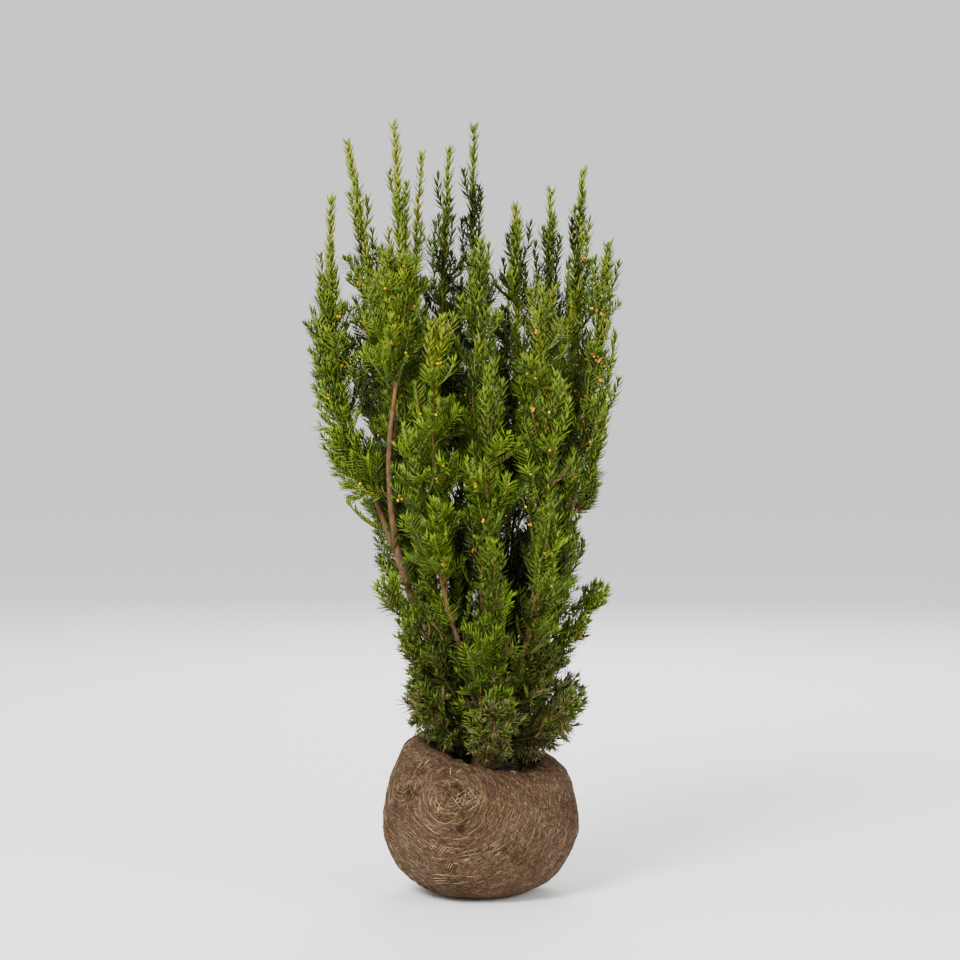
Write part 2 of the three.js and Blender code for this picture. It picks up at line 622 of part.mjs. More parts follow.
function add(name, solid, colour, roughness = 0.85) {
  const material = new THREE.MeshStandardMaterial({ color: colour, roughness, metalness: 0 });
  const mesh = new THREE.Mesh(geometryOf(solid), material);
  mesh.name = name;
  plant.add(mesh);
}

add("root_ball", makeBall(), COLOURS.burlap, 0.95);
add("burlap_lip", makeLip(), COLOURS.burlap, 0.95);
add("trunk", makeLimb("trunk"), COLOURS.bark);
const placed = ["trunk"];
for (const { name } of LIMBS) {
  // Where stems crowd together above the trunk, each later one is cut clear of those before it.
  let limb = makeLimb(name);
  for (const earlier of placed) limb = limb.subtract(makeLimb(earlier, GAP));
  add(name, limb, COLOURS.bark);
  placed.push(name);
}
for (const mass of masses) {
  const colour = mass.bare > FRESH_FROM ? COLOURS.freshNeedles : COLOURS.needles;
  add(mass.name, makeMass(mass), colour, 0.6);
}

export default plant;
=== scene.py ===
"""Dresses a balled-and-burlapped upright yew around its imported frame.

The crown grows by the same seeded rule as its solids, carried on to fine shoots and needles of real size. The
bark, the burlap wrap, its loose threads, the soil and the pollen cones are modelled here as well. Sizes are
millimetres until a mesh is made, which is then in metres, +Z up, with the viewer on the -Y side.
"""

import logging
import math
from collections.abc import Sequence
from dataclasses import dataclass, field
from enum import Enum, IntEnum

import bmesh
import bpy
import numpy as np
from mathutils import Matrix, Vector, noise


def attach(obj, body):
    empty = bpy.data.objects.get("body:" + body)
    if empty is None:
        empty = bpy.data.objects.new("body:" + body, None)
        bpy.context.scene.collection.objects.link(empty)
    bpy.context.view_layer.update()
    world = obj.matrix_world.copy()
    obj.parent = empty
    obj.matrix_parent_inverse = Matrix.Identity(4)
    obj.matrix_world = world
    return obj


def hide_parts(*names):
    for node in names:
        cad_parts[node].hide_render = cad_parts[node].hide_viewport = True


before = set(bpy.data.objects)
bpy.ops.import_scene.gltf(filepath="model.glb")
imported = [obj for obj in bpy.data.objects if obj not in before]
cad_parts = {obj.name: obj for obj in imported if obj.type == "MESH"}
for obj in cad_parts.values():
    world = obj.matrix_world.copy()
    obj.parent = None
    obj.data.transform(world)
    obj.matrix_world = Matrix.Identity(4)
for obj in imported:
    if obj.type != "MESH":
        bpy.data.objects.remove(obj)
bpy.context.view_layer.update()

Array = np.ndarray
Amount = float | Array
Span = tuple[float, float]
Tree = bpy.types.NodeTree
Socket = bpy.types.NodeSocket
Inputs = dict[str | int, object]
Stops = Sequence[tuple[float, str]]
MM = 0.001
BODY = "root"
log = logging.getLogger("yew")

# The growth rule's sizes, as in the solids. Outlines are corners as distance from the axis and height
GAP = 0.3
SEED = 7
GOLDEN_ANGLE = math.radians(137.508)
SOIL_TOP = 248
SOIL_FLAT = 62
BALL_OUTLINE = (
    (0, 0), (74, 0), (106, 8), (150, 38), (178, 82), (189, 128), (188, 168), (181, 206), (166, 238),
    (152, 250), (140, 259), (112, 269), (96, 266), (84, 255), (SOIL_FLAT, SOIL_TOP), (0, SOIL_TOP),
)
LIP_OUTLINE = (
    (152, 250.6), (140, 259.6), (112, 269.6), (96, 266.6), (84, 255.6),
    (87, 268), (104, 279), (128, 276), (149, 261),
)
RIM_TILT = 32
RIM_HIGH_SIDE = math.radians(146)
RIM_TILT_FROM = 150
RIM_TILT_FULL = 262
SHOULDER_TILT = 0.45
BUNCH_SIDE = math.radians(-6)
BUNCH_WIDTH = 0.5
BUNCH_RISE = 20
OVER_LIP = (160, 276)
OVER_SHOULDER = (200, 244)
BESIDE_BALL = 190
# Where the burlap is tied: bearing in degrees, height, and radius of the gather
KNOTS = ((-109, 219, 24), (-144, 220, 18), (56, 200, 24))
KNOT_RISE = 9
# How far a knot lies from the plant's axis: low and high on the ball's shoulder, and the heights of both
KNOT_DISTANCE = (186, 175)
SHOULDER_HEIGHTS = (168, 222)
TRUNK_X = 12
TRUNK_TOP = 345
TRUNK_RADIUS = 19
ROOT_FLARE = 11
TWIG_LENGTH_LOW = 2
TWIG_LENGTH_HIGH = 1.5
MOST_LEAN = 0.78
LEAST_OUT = 8
ROOM_STEP = 4
TWIG_ROOM_AT = (0.1, 0.22)
LEADER_STEPS = 10
LEADER_BEND = 0.4
RING_BARE = 0.15
# How far round its leader a mass's twigs spread, near the plant's axis and far out, and those distances
SPREAD = (1, 0.72)
SPREAD_OUT = (80, 220)

# How far inside a mass's reach its shoots end, as their needles stand out
NEEDLE_OVERHANG = 10
# The stems that short shoots clothe: from and to as shares of the stem, and how many
CLOTHED = {
    "stem_left": (0.24, 0.5, 16), "stem_left_outer": (0.1, 0.9, 10), "stem_left_middle": (0.3, 0.95, 14),
    "stem_front_left": (0.35, 1.0, 16), "stem_front_right": (0.35, 0.95, 12), "stem_front": (0.6, 1.0, 6),
    "stem_centre": (0.3, 0.95, 14), "stem_centre_left": (0.3, 0.95, 14), "stem_right": (0.4, 0.95, 12),
    "stem_rear": (0.3, 0.95, 14), "stem_rear_left": (0.3, 0.95, 14), "stem_rear_right": (0.3, 0.95, 12),
}

# Stems: name, parent, where it leaves that, the point it bends towards, its tip, its foot's and tip's radius
LIMBS = (
    ("left", "trunk", 0.7, (-215, -60, 620), (-166, -138, 950), (9, 4.5)),
    ("left_outer", "stem_left", 0.5, (-196, -78, 760), (-240, -72, 890), (6, 4)),
    ("left_middle", "trunk", 0.9, (-106, -6, 540), (-142, -16, 780), (8, 5)),
    ("centre_left", "trunk", 0.96, (-58, 26, 540), (-70, 26, 740), (8, 5)),
    ("centre", "trunk", 1, (42, -6, 540), (56, -12, 720), (9, 5)),
    ("front", "trunk", 0.78, (10, -84, 440), (4, -98, 620), (7, 4.5)),
    ("front_left", "trunk", 0.5, (-20, -92, 430), (-58, -108, 560), (6.5, 4)),
    ("front_right", "trunk", 0.55, (86, -84, 440), (100, -108, 570), (6.5, 4)),
    ("right", "trunk", 0.84, (130, 10, 520), (158, 10, 780), (9, 5)),
    ("right_outer", "stem_right", 0.4, (150, -40, 600), (182, -44, 780), (6, 4)),
    ("rear", "trunk", 0.88, (6, 96, 520), (-6, 116, 760), (8, 5)),
    ("rear_left", "trunk", 0.66, (-90, 96, 480), (-124, 126, 720), (8, 4.5)),
    ("rear_right", "trunk", 0.6, (104, 92, 480), (124, 104, 740), (8, 5)),
)

# Foliage: name, the limb it leaves and where, its leader's tip, its reach, the leader's bare share, its twigs
MASSES = (
    ("left_outer", "stem_left_outer", 1, (-286, -64, 1352), 62, 0.42, 6),
    ("left_back", "stem_left_middle", 1, (-259, 20, 1468), 76, 0.34, 7),
    ("left_tall", "stem_left", 1, (-163, -134, 1490), 74, 0.5, 6),
    ("left_inner", "stem_left", 0.9, (-112, -70, 1440), 66, 0.44, 5),
    ("centre_left", "stem_centre_left", 1, (-60, 42, 1455), 78, 0.32, 7),
    ("rear", "stem_rear", 1, (-12, 130, 1510), 80, 0.38, 6),
    ("front", "stem_front", 1, (2, -120, 1270), 80, 0.2, 6),
    ("centre", "stem_centre", 1, (69, -14, 1342), 78, 0.24, 6),
    ("right_back", "stem_rear_right", 1, (140, 104, 1380), 78, 0.28, 6),
    ("right_tall", "stem_right", 1, (201, 16, 1413), 66, 0.32, 6),
    ("right_outer", "stem_right_outer", 1, (247, -50, 1265), 48, 0.28, 6),
    ("right_front", "stem_front_right", 1, (118, -140, 1180), 80, 0.18, 7),
    ("rear_left", "stem_rear_left", 1, (-150, 150, 1330), 84, 0.34, 7),
    ("rear_far", "stem_rear", 0.7, (64, 210, 1270), 84, 0.3, 7),
    ("rear_right", "stem_rear_right", 0.8, (180, 140, 1250), 70, 0.3, 6),
    ("right_spray", "stem_right_outer", 0.9, (264, -6, 1096), 32, 0.48, 4),
    ("mid_left_outer", "stem_left", 0.75, (-276, -112, 965), 62, 0.12, 6),
    ("mid_left_back", "stem_left_middle", 0.6, (-226, 60, 1010), 66, 0.12, 5),
    ("mid_front_left", "stem_front_left", 1, (-72, -184, 1123), 86, 0.18, 7),
    ("mid_front", "stem_front", 0.7, (26, -204, 1040), 86, 0.18, 7),
    ("mid_front_right", "stem_front_right", 0.72, (146, -168, 1020), 72, 0.16, 5),
    ("inner_left", "stem_centre_left", 0.5, (-36, -60, 905), 72, 0.12, 4),
    ("inner_right", "stem_centre", 0.4, (90, -62, 895), 72, 0.12, 4),
    ("mid_left_low", "stem_left", 0.14, (-168, -124, 600), 46, 0.1, 4),
    ("mid_right", "stem_right_outer", 0.3, (170, -84, 850), 54, 0.14, 6),
    ("mid_right_low", "stem_right", 0.26, (222, -52, 582), 42, 0.1, 4),
    ("mid_rear_right", "stem_rear_right", 0.5, (160, 92, 930), 66, 0.14, 5),
    ("mid_rear", "stem_rear", 0.5, (30, 200, 920), 84, 0.14, 5),
    ("mid_far_left", "stem_rear_left", 0.8, (-200, 120, 1140), 78, 0.14, 6),
)


class Trait(IntEnum):
    """What a chance is asked for. The first four are the solids' own."""

    TURN = 0
    TWIG_PLACE = 1
    TWIG_OUT = 2
    TWIG_LENGTH = 3
    TWIG_HABIT = 4
    HUGGER_LENGTH = 5
    SIDE_PLACE = 6
    SIDE_ROLL = 7
    SIDE_ANGLE = 8
    SIDE_LENGTH = 9
    HANGER_TURN = 12
    HANGER_LENGTH = 13
    HANGER_DROP = 14
    HUGGER_AWAY = 16
    STEM_SHOOT_LENGTH = 17


@dataclass(frozen=True)
class Ring:
    """A ring of low plumes round the trunk, in millimetres and degrees."""

    name: str
    count: int
    first: float
    shift: float
    start: float
    foot: float
    out: float
    tip_radius: float
    tip_top: float
    reach: float
    twigs: int
    sink: float


RINGS = (
    Ring("low", 7, -38, 12, 0.62, 330, 68, 168, 700, 84, 6, 0),
    Ring("skirt", 6, -30, 18, 0.42, 318, 92, 150, 400, 60, 4, 30),
)


def mix(low: Amount, high: Amount, share: Amount) -> Amount:
    """Returns the value that lies a share of the way from low to high."""
    return low + (high - low) * share


def smooth(value: Amount, low: float, high: float) -> Amount:
    """Returns 0 below low, 1 above high, and an even ease between them."""
    share = np.clip((value - low) / (high - low), 0, 1)
    return share * share * (3 - 2 * share)


def unit(vectors: Array) -> Array:
    """Returns the vectors at length one."""
    return vectors / np.maximum(np.linalg.norm(vectors, axis=-1, keepdims=True), 1e-9)


def across(vectors: Array, along: Array) -> Array:
    """Returns the part of each vector that is square to its axis, at length one."""
    return unit(vectors - (vectors * along).sum(-1, keepdims=True) * along)


def level_ways(bearing: Array) -> Array:
    """Returns the level directions with these bearings."""
    return np.c_[np.cos(bearing), np.sin(bearing), np.zeros(len(bearing))]


def moved(points: Array, *steps: tuple[Array, Array]) -> Array:
    """Moves points.

    Args:
        points: (N, 3) points.
        steps: one or more pairs of (N, 3) directions and how far each point goes that way.

    Returns:
        The points in their new places.
    """
    for ways, lengths in steps:
        points = points + ways * lengths[:, None]
    return points


def chance(plant: Amount, twig: Amount, trait: int) -> Amount:
    """Returns a number from 0 to 1 that depends only on what it is asked for, as in the solids."""
    wave = np.sin(plant * 12.9898 + twig * 78.233 + trait * 37.719 + SEED) * 43758.5453
    return wave - np.floor(wave)


def bunched(angle: Array) -> Array:
    """Returns how much higher the rim stands where the burlap is bunched up on one shoulder."""
    return BUNCH_RISE * np.exp(-(((angle - BUNCH_SIDE) / BUNCH_WIDTH) ** 2))


def crown_breadth(height: Array) -> Array:
    """Returns how far the crown reaches from the trunk at these heights."""
    return mix(150, 270, smooth(height, 300, 900))


def linear(hex_colour: str) -> tuple[float, float, float, float]:
    """Turns a colour from the way screens store it to the way light adds up.

    Args:
        hex_colour: the colour as sRGB, such as #4e6513.

    Returns:
        Its linear red, green and blue, and full opacity.
    """
    parts = [int(hex_colour[i : i + 2], 16) / 255 for i in (1, 3, 5)]
    values = [c / 12.92 if c <= 0.04045 else ((c + 0.055) / 1.055) ** 2.4 for c in parts]
    return (*values, 1.0)


@dataclass
class Bends:
    """Many bent lines at once, each of three control points, in millimetres."""

    start: Array
    bend: Array
    end: Array

    def _spread(self, shares: Array) -> tuple[Array, ...]:
        """Returns the lines' three points and the shares, with as many axes as are needed to combine them."""
        points = (self.start, self.bend, self.end)
        if shares.ndim == 2:
            points = tuple(point[:, None, :] for point in points)
        return (*points, shares[..., None])

    def at(self, shares: Array) -> Array:
        """Finds points on the lines.

        Args:
            shares: one place from 0 to 1 for each line, or a row of them.

        Returns:
            The points, with one more axis than the shares.
        """
        start, bend, end, t = self._spread(shares)
        return (1 - t) ** 2 * start + 2 * t * (1 - t) * bend + t**2 * end

    def heading(self, shares: Array) -> Array:
        """Finds which way the lines run.

        Args:
            shares: one place from 0 to 1 for each line, or a row of them.

        Returns:
            The directions at those places, at length one.
        """
        start, bend, end, t = self._spread(shares)
        return unit((1 - t) * (bend - start) + t * (end - bend))

    def length(self) -> Array:
        """Returns the length of each line."""
        shares = np.tile(np.linspace(0, 1, 13), (len(self.start), 1))
        return np.linalg.norm(np.diff(self.at(shares), axis=1), axis=2).sum(axis=1)

    def cut(self, share: Array) -> "Bends":
        """Returns each line up to a share of itself."""
        return Bends(self.start, mix(self.start, self.bend, share[:, None]), self.at(share))

    def pick(self, rows: Array) -> "Bends":
        """Returns some of the lines, each as often as it is asked for."""
        return Bends(self.start[rows], self.bend[rows], self.end[rows])

    def times(self, count: int) -> "Bends":
        """Returns the first line this many times."""
        return self.pick(np.zeros(count, int))


def one_bend(start: Array, bend: Array, end: Array) -> Bends:
    """Returns a single bent line."""
    return Bends(*(np.asarray(p, float)[None] for p in (start, bend, end)))


def distances(points: Array, paths: Array) -> Array:
    """Measures how far points lie from paths.

    Args:
        points: (N, 3) points.
        paths: (K, S, 3) corners of K paths.

    Returns:
        (N, K) distances.
    """
    starts, steps = paths[:, :-1], np.diff(paths, axis=1)
    squares = np.maximum((steps**2).sum(-1), 1e-9)
    found = np.empty((len(points), len(paths)))
    for low in range(0, len(points), 2000):
        away = points[low : low + 2000, None, None, :] - starts
        share = np.clip((away * steps).sum(-1) / squares, 0, 1)
        gap = away - share[..., None] * steps
        found[low : low + 2000] = np.sqrt((gap**2).sum(-1)).min(axis=2)
    return found


class Limbs:
    """The trunk and the stems: their lines and their radii."""

    def __init__(self) -> None:
        """Plans every limb from its parent."""
        foot = (TRUNK_X, 0, SOIL_TOP + GAP)
        top = (TRUNK_X, 0, TRUNK_TOP)
        self.lines = {"trunk": one_bend(foot, (TRUNK_X, 0, (foot[2] + TRUNK_TOP) / 2), top)}
        self.radii = {"trunk": (TRUNK_RADIUS + 3, TRUNK_RADIUS - 1)}
        for name, parent, where, bend, tip, radii in LIMBS:
            start = self.lines[parent].at(np.array([float(where)]))[0]
            self.lines[f"stem_{name}"] = one_bend(start, bend, tip)
            self.radii[f"stem_{name}"] = radii
        shares = np.linspace(0, 1, LEADER_STEPS + 1)[None]
        self.paths = np.concatenate([line.at(shares) for line in self.lines.values()])
        self.thick = np.array([radii[0] for radii in self.radii.values()])


@dataclass
class Mass:
    """One mass of foliage: a plume with a leader, and the space that it keeps to."""

    name: str
    limb: str
    where: float
    tip: Sequence[float]
    reach: float
    bare: float
    twigs: int
    out: Sequence[float] | None = None
    index: int = 0
    line: Bends = field(init=False)
    path: Array = field(init=False)
    neighbours: list["Mass"] = field(init=False, default_factory=list)

    def plan(self, limbs: Limbs, index: int) -> None:
        """Works out the leader and the seeded turn of the twigs round it.

        Args:
            limbs: the planned limbs, one of which it leaves.
            index: the mass's number, from 1.
        """
        self.index = index
        share = np.array([float(self.where)])
        limb = limbs.lines[self.limb]
        heading = limb.heading(share)[0]
        start = limb.at(share)[0] + (heading * GAP if self.where == 1 else 0)
        end = np.array(self.tip, float)
        span = end - start
        if self.out is not None:
            bend = start + np.array(self.out)
        elif self.where == 1:
            bend = start + heading * np.linalg.norm(span) * LEADER_BEND
        else:
            bend = start + span * (1, 1, 0) * LEADER_BEND
        self.line = one_bend(start, bend, end)
        self.path = self.line.at(np.linspace(0, 1, LEADER_STEPS + 1)[None])[0]
        self.turn = chance(index, 0, Trait.TURN) * 2 * math.pi
        self.open = math.atan2(end[1], end[0] - TRUNK_X)
        self.spread = mix(*SPREAD, smooth(math.hypot(end[0], end[1]), *SPREAD_OUT))


def ring_masses(ring: Ring) -> list[Mass]:
    """Works out the masses of a ring from its few sizes, as in the solids.

    Args:
        ring: the ring's sizes.

    Returns:
        Its masses, in turn round the trunk.
    """
    made = []
    for i in range(ring.count):
        angle = math.radians(ring.first + 360 / ring.count * i)
        low = ring.sink * 0.5 * (1 - math.cos(angle - RIM_HIGH_SIDE))
        cos, sin = math.cos(angle), math.sin(angle)
        rise = ring.foot - mix(SOIL_TOP, TRUNK_TOP, ring.start) - low * 0.6
        tip = (TRUNK_X + ring.shift + cos * ring.tip_radius, sin * ring.tip_radius, ring.tip_top - low)
        out = (cos * ring.out, sin * ring.out, rise)
        name = f"foliage_{ring.name}_{i + 1}"
        made.append(Mass(name, "trunk", ring.start, tip, ring.reach, RING_BARE, ring.twigs, out))
    return made


class Crown:
    """All masses, and the test of which space belongs to which."""

    def __init__(self, limbs: Limbs) -> None:
        """Plans every mass before anything is grown.

        Args:
            limbs: the planned limbs.
        """
        self.limbs = limbs
        self.masses = [Mass(f"foliage_{row[0]}", *row[1:]) for row in MASSES]
        for ring in RINGS:
            self.masses += ring_masses(ring)
        for index, mass in enumerate(self.masses):
            mass.plan(limbs, index + 1)
        paths = np.stack([mass.path for mass in self.masses])
        for mass in self.masses:
            gaps = distances(mass.path, paths).min(axis=0)
            mass.neighbours = [
                other for other, gap in zip(self.masses, gaps)
                if other is not mass and gap < mass.reach + other.reach
            ]

    def inside(self, mass: Mass, points: Array, clearance: float) -> Array:
        """Tells which points lie in a mass's space: in its reach, nearest its leader, off limbs and ball.

        Args:
            mass: the mass that grows.
            points: (N, 3) points.
            clearance: millimetres kept to a neighbour's space and to the limbs; below zero it reaches over.

        Returns:
            (N,) truth values.
        """
        flat = points.reshape(-1, 3)
        own = distances(flat, mass.path[None])[:, 0]
        free = own <= mass.reach - NEEDLE_OVERHANG
        theirs = distances(flat, np.stack([other.path for other in mass.neighbours]))
        reaches = np.array([other.reach for other in mass.neighbours])
        margin = theirs * mass.reach - own[:, None] * reaches
        free &= (margin >= clearance * (mass.reach + reaches)).all(axis=1)
        free &= self.off_limbs(flat, clearance)
        return free.reshape(points.shape[:-1])

    def off_limbs(self, flat: Array, clearance: float) -> Array:
        """Tells which points are off the limbs and above the ball.

        Args:
            flat: (N, 3) points.
            clearance: millimetres kept to the limbs, none where it is below zero.

        Returns:
            (N,) truth values.
        """
        free = (distances(flat, self.limbs.paths) >= self.limbs.thick + max(clearance, 0)).all(axis=1)
        radius = np.hypot(flat[:, 0], flat[:, 1])
        angle = np.arctan2(flat[:, 1], flat[:, 0])
        rim = RIM_TILT * np.cos(angle - RIM_HIGH_SIDE) + bunched(angle)
        floor = np.where(radius > OVER_LIP[0], OVER_SHOULDER[1], OVER_LIP[1]) + rim
        return free & (flat[:, 2] > np.where(radius > OVER_SHOULDER[0], BESIDE_BALL, floor))

    def room(self, mass: Mass, points: Array, outward: Array) -> Array:
        """Measures how far the mass's space reaches.

        Args:
            mass: the mass that grows.
            points: (N, 3) points inside it.
            outward: (N, 3) directions.

        Returns:
            (N,) millimetres from each point in its direction.
        """
        steps = np.arange(ROOM_STEP, mass.reach + ROOM_STEP, ROOM_STEP)
        tried = points[:, None] + outward[:, None] * steps[None, :, None]
        free = self.inside(mass, tried, 1)
        return np.argmin(np.c_[free, np.zeros(len(free), bool)], axis=1) * ROOM_STEP


class Habit(Enum):
    """How needles stand on a shoot."""

    COMB = 0
    BRUSH = 1


@dataclass(frozen=True)
class ShootKind:
    """A kind of shoot: its radii, its rank below the leader, where its needles start, and their size."""

    radius: float
    tip_radius: float
    order: int
    needled_from: float
    needle: float
    habit: Habit = Habit.COMB


LEADER = ShootKind(3.6, 1.4, 0, 0.55, 0.92, Habit.BRUSH)
TWIG = ShootKind(2.1, 0.9, 1, 0.14, 1.0)
HUGGER = ShootKind(1.5, 0.9, 1, 0.08, 0.85, Habit.BRUSH)
HANGER = ShootKind(1.4, 0.9, 1, 0.1, 0.92)
STEM_SHOOT = ShootKind(1.6, 0.9, 1, 0.12, 0.94)
SIDE_SHOOT = ShootKind(1.2, 0.8, 2, 0.06, 0.96)


@dataclass(frozen=True)
class NeedleFinish:
    """A yew needle's two faces: a waxy upper side, and a paler dull underside.

    The upper side's gloss gives the crown its many small highlights. Both are one plain colour each, as a
    crown's colours are dealt out by spray.
    """

    name: str
    slot: str
    upper: str
    under: str
    gloss: float = 0.42


class Tint(Enum):
    """The crown's needle colours, from the year's fresh leaders down to the shaded skirt."""

    # Each green comes in lighter and darker copies, dealt by place as painted light and painted shade
    LEADER_A = NeedleFinish("leader_a", "fresh_needles", "#7d8c14", "#778326")
    LEADER_B = NeedleFinish("leader_b", "fresh_needles", "#637411", "#657222")
    FRESH_A = NeedleFinish("fresh_a", "fresh_needles", "#708b15", "#6d7f28")
    FRESH_B = NeedleFinish("fresh_b", "fresh_needles", "#5a750f", "#5d7021")
    LEAF_A = NeedleFinish("leaf_a", "needles", "#4e6513", "#566824")
    LEAF_B = NeedleFinish("leaf_b", "needles", "#3f5411", "#49581f")
    LEAF_C = NeedleFinish("leaf_c", "needles", "#31430b", "#3a4816")
    # The darkest greens: painted shade for needles deep inside and behind the crown
    DEEP_A = NeedleFinish("deep_a", "needles", "#1f3204", "#28360a")
    DEEP_B = NeedleFinish("deep_b", "needles", "#162002", "#1d2605")
    OLD_A = NeedleFinish("old_a", "old_needles", "#545c1b", "#595e2a")
    OLD_B = NeedleFinish("old_b", "old_needles", "#353c0f", "#3e4419")
    SKIRT_A = NeedleFinish("skirt_a", "old_needles", "#5d5930", "#65613d")
    SKIRT_B = NeedleFinish("skirt_b", "old_needles", "#474425", "#504d32")


TINTS = list(Tint)
TINT_INDEX = {tint: number for number, tint in enumerate(TINTS)}


@dataclass
class Shoots:
    """Many shoots at once, with what their needles need to know."""

    lines: Bends
    side: Array
    radius: Array
    tip_radius: Array
    habit: Array
    order: Array
    mass: Array
    needled_from: Array
    needle: Array
    seed: Array

    def pick(self, rows: Array) -> "Shoots":
        """Returns some of the shoots."""
        rest = {key: value[rows] for key, value in vars(self).items() if key != "lines"}
        return Shoots(self.lines.pick(rows), **rest)

    @staticmethod
    def joined(parts: Sequence["Shoots"]) -> "Shoots":
        """Joins sets of shoots.

        Args:
            parts: the sets, in order.

        Returns:
            One set of them all.
        """
        ends = ("start", "bend", "end")
        lines = Bends(*(np.concatenate([getattr(part.lines, key) for part in parts]) for key in ends))
        keys = [key for key in vars(parts[0]) if key != "lines"]
        return Shoots(lines, **{key: np.concatenate([getattr(part, key) for part in parts]) for key in keys})


@dataclass
class Growth:
    """Carries the solids' rule on to fine shoots within the same reach."""

    crown: Crown
    finer: int = 4
    twigs_from: float = 0.04
    twig_length: Span = (0.74, 1.1)
    twig_out: Span = (0.6, 1)
    room_kept: float = 10
    slimmest: float = 0.55
    brush_share: float = 0.3
    huggers: int = 9
    few_huggers: int = 5
    hugger_length: Span = (110, 52)
    hugger_away: Span = (20, 32)
    twin_length: Span = (0.3, 0.66)
    twin_away: Span = (11, 20)
    hangers: int = 16
    hanger_turn: float = 2.8
    hanger_length: Span = (46, 84)
    hanger_drop: Span = (0.3, 1.0)
    hanger_overlap: float = 12
    stem_shoot_length: Span = (52, 96)
    side_step: float = 31
    fork_step: float = 34
    forks_from: float = 70
    sides_to: float = 0.84
    side_angle: float = 38
    side_roll: float = 1.7
    side_length: Span = (34, 120)
    stations: int = 11
    fewest_stations: int = 3
    # Which huggers grow nearly as tall as the leader, and the traits for their length and distance from it
    twins: tuple = ((2, 11, 17), (4, 15, 21))

    def grow(self) -> Shoots:
        """Grows the crown, one mass after another, and then the shoots on the stems.

        Returns:
            Every shoot of the crown.
        """
        parts = []
        for mass in self.crown.masses:
            twigs = self.twigs(mass)
            sides = self.sides(mass, twigs, 2, self.side_step)
            long_sides = sides.pick(np.flatnonzero(sides.lines.length() > self.forks_from))
            forks = self.sides(mass, long_sides, 3, self.fork_step)
            parts += [self.leader(mass), twigs, sides, forks, self.hugging(mass)]
            if mass.name.startswith("foliage_skirt"):
                parts.append(self.hanging(mass))
        parts += [self.clothing(limb, *where) for limb, where in CLOTHED.items()]
        return Shoots.joined([part for part in parts if len(part.side)])

    @staticmethod
    def pack(mass: Mass, lines: Bends, side: Array, kind: ShootKind, seed: Amount, **own: Amount) -> Shoots:
        """Makes shoots of lines.

        Args:
            mass: the mass that they belong to.
            lines: their lines.
            side: (N, 3) directions square to each, in the plane of its comb of needles.
            kind: what kind of shoots they are.
            seed: each one's number for the chances of what grows on it.
            own: the sizes that differ from the kind's, for all or for each.

        Returns:
            The shoots.
        """
        count = len(side)
        sizes = {**vars(kind), "habit": kind.habit.value, "seed": seed, **own}
        full = {key: np.broadcast_to(np.asarray(value), (count,)).copy() for key, value in sizes.items()}
        return Shoots(lines, side, mass=np.full(count, mass.index), **full)

    def leader(self, mass: Mass) -> Shoots:
        """Makes a mass's leader, with needles all round its upper part.

        Args:
            mass: the mass that grows.

        Returns:
            The leader as a set of one shoot.
        """
        side = np.array([[math.cos(mass.turn), math.sin(mass.turn), 0.0]])
        radius = self.crown.limbs.radii[mass.limb][1] if mass.where == 1 else LEADER.radius
        start = (1 - mass.bare) * LEADER.needled_from
        return self.pack(mass, mass.line, side, LEADER, float(mass.index), radius=radius, needled_from=start)

    def twigs(self, mass: Mass) -> Shoots:
        """Grows a mass's twigs: the solids' own, and finer ones between them.

        Args:
            mass: the mass that grows.

        Returns:
            Its twigs.
        """
        number = np.arange(mass.twigs * self.finer)
        twig = number / self.finer
        leafy = 1 - mass.bare
        place = (twig + 0.5 * chance(mass.index, twig, Trait.TWIG_PLACE)) / mass.twigs
        share = mix(self.twigs_from, leafy, place)
        between = (number % self.finer) * GOLDEN_ANGLE * 2
        spin = (mass.turn + np.floor(twig) * GOLDEN_ANGLE + between) % (2 * math.pi) - math.pi
        base = mass.line.times(len(number))
        axis = base.heading(share)
        outward = across(level_ways(mass.open + spin * mass.spread), axis)
        length = mass.reach * mix(TWIG_LENGTH_LOW, TWIG_LENGTH_HIGH, share)
        length *= mix(*self.twig_length, chance(mass.index, twig, Trait.TWIG_LENGTH))
        length *= mix(1, self.slimmest, smooth(share, leafy * 0.5, leafy))
        room = np.full(len(number), np.inf)
        for rise in TWIG_ROOM_AT:
            above = base.at(np.minimum(1, share + rise))
            room = np.minimum(room, self.crown.room(mass, above, outward))
        free = np.maximum(LEAST_OUT, room - self.room_kept)
        free = free * mix(*self.twig_out, chance(mass.index, twig, Trait.TWIG_OUT))
        out = np.minimum(length * MOST_LEAN, free)
        start = base.at(share)
        end = moved(start, (outward, out), (axis, np.sqrt(length**2 - out**2)))
        bend = moved(start, (outward, out * 0.8), (axis, length * 0.3))
        lines, kept = self.fit(mass, Bends(start, bend, end), 3)
        is_brush = chance(mass.index, twig, Trait.TWIG_HABIT)[kept] < self.brush_share
        return self.pack(
            mass, lines, unit(np.cross(axis, outward))[kept], TWIG, (mass.index * 97.0 + number)[kept],
            habit=np.where(is_brush, Habit.BRUSH.value, Habit.COMB.value),
        )

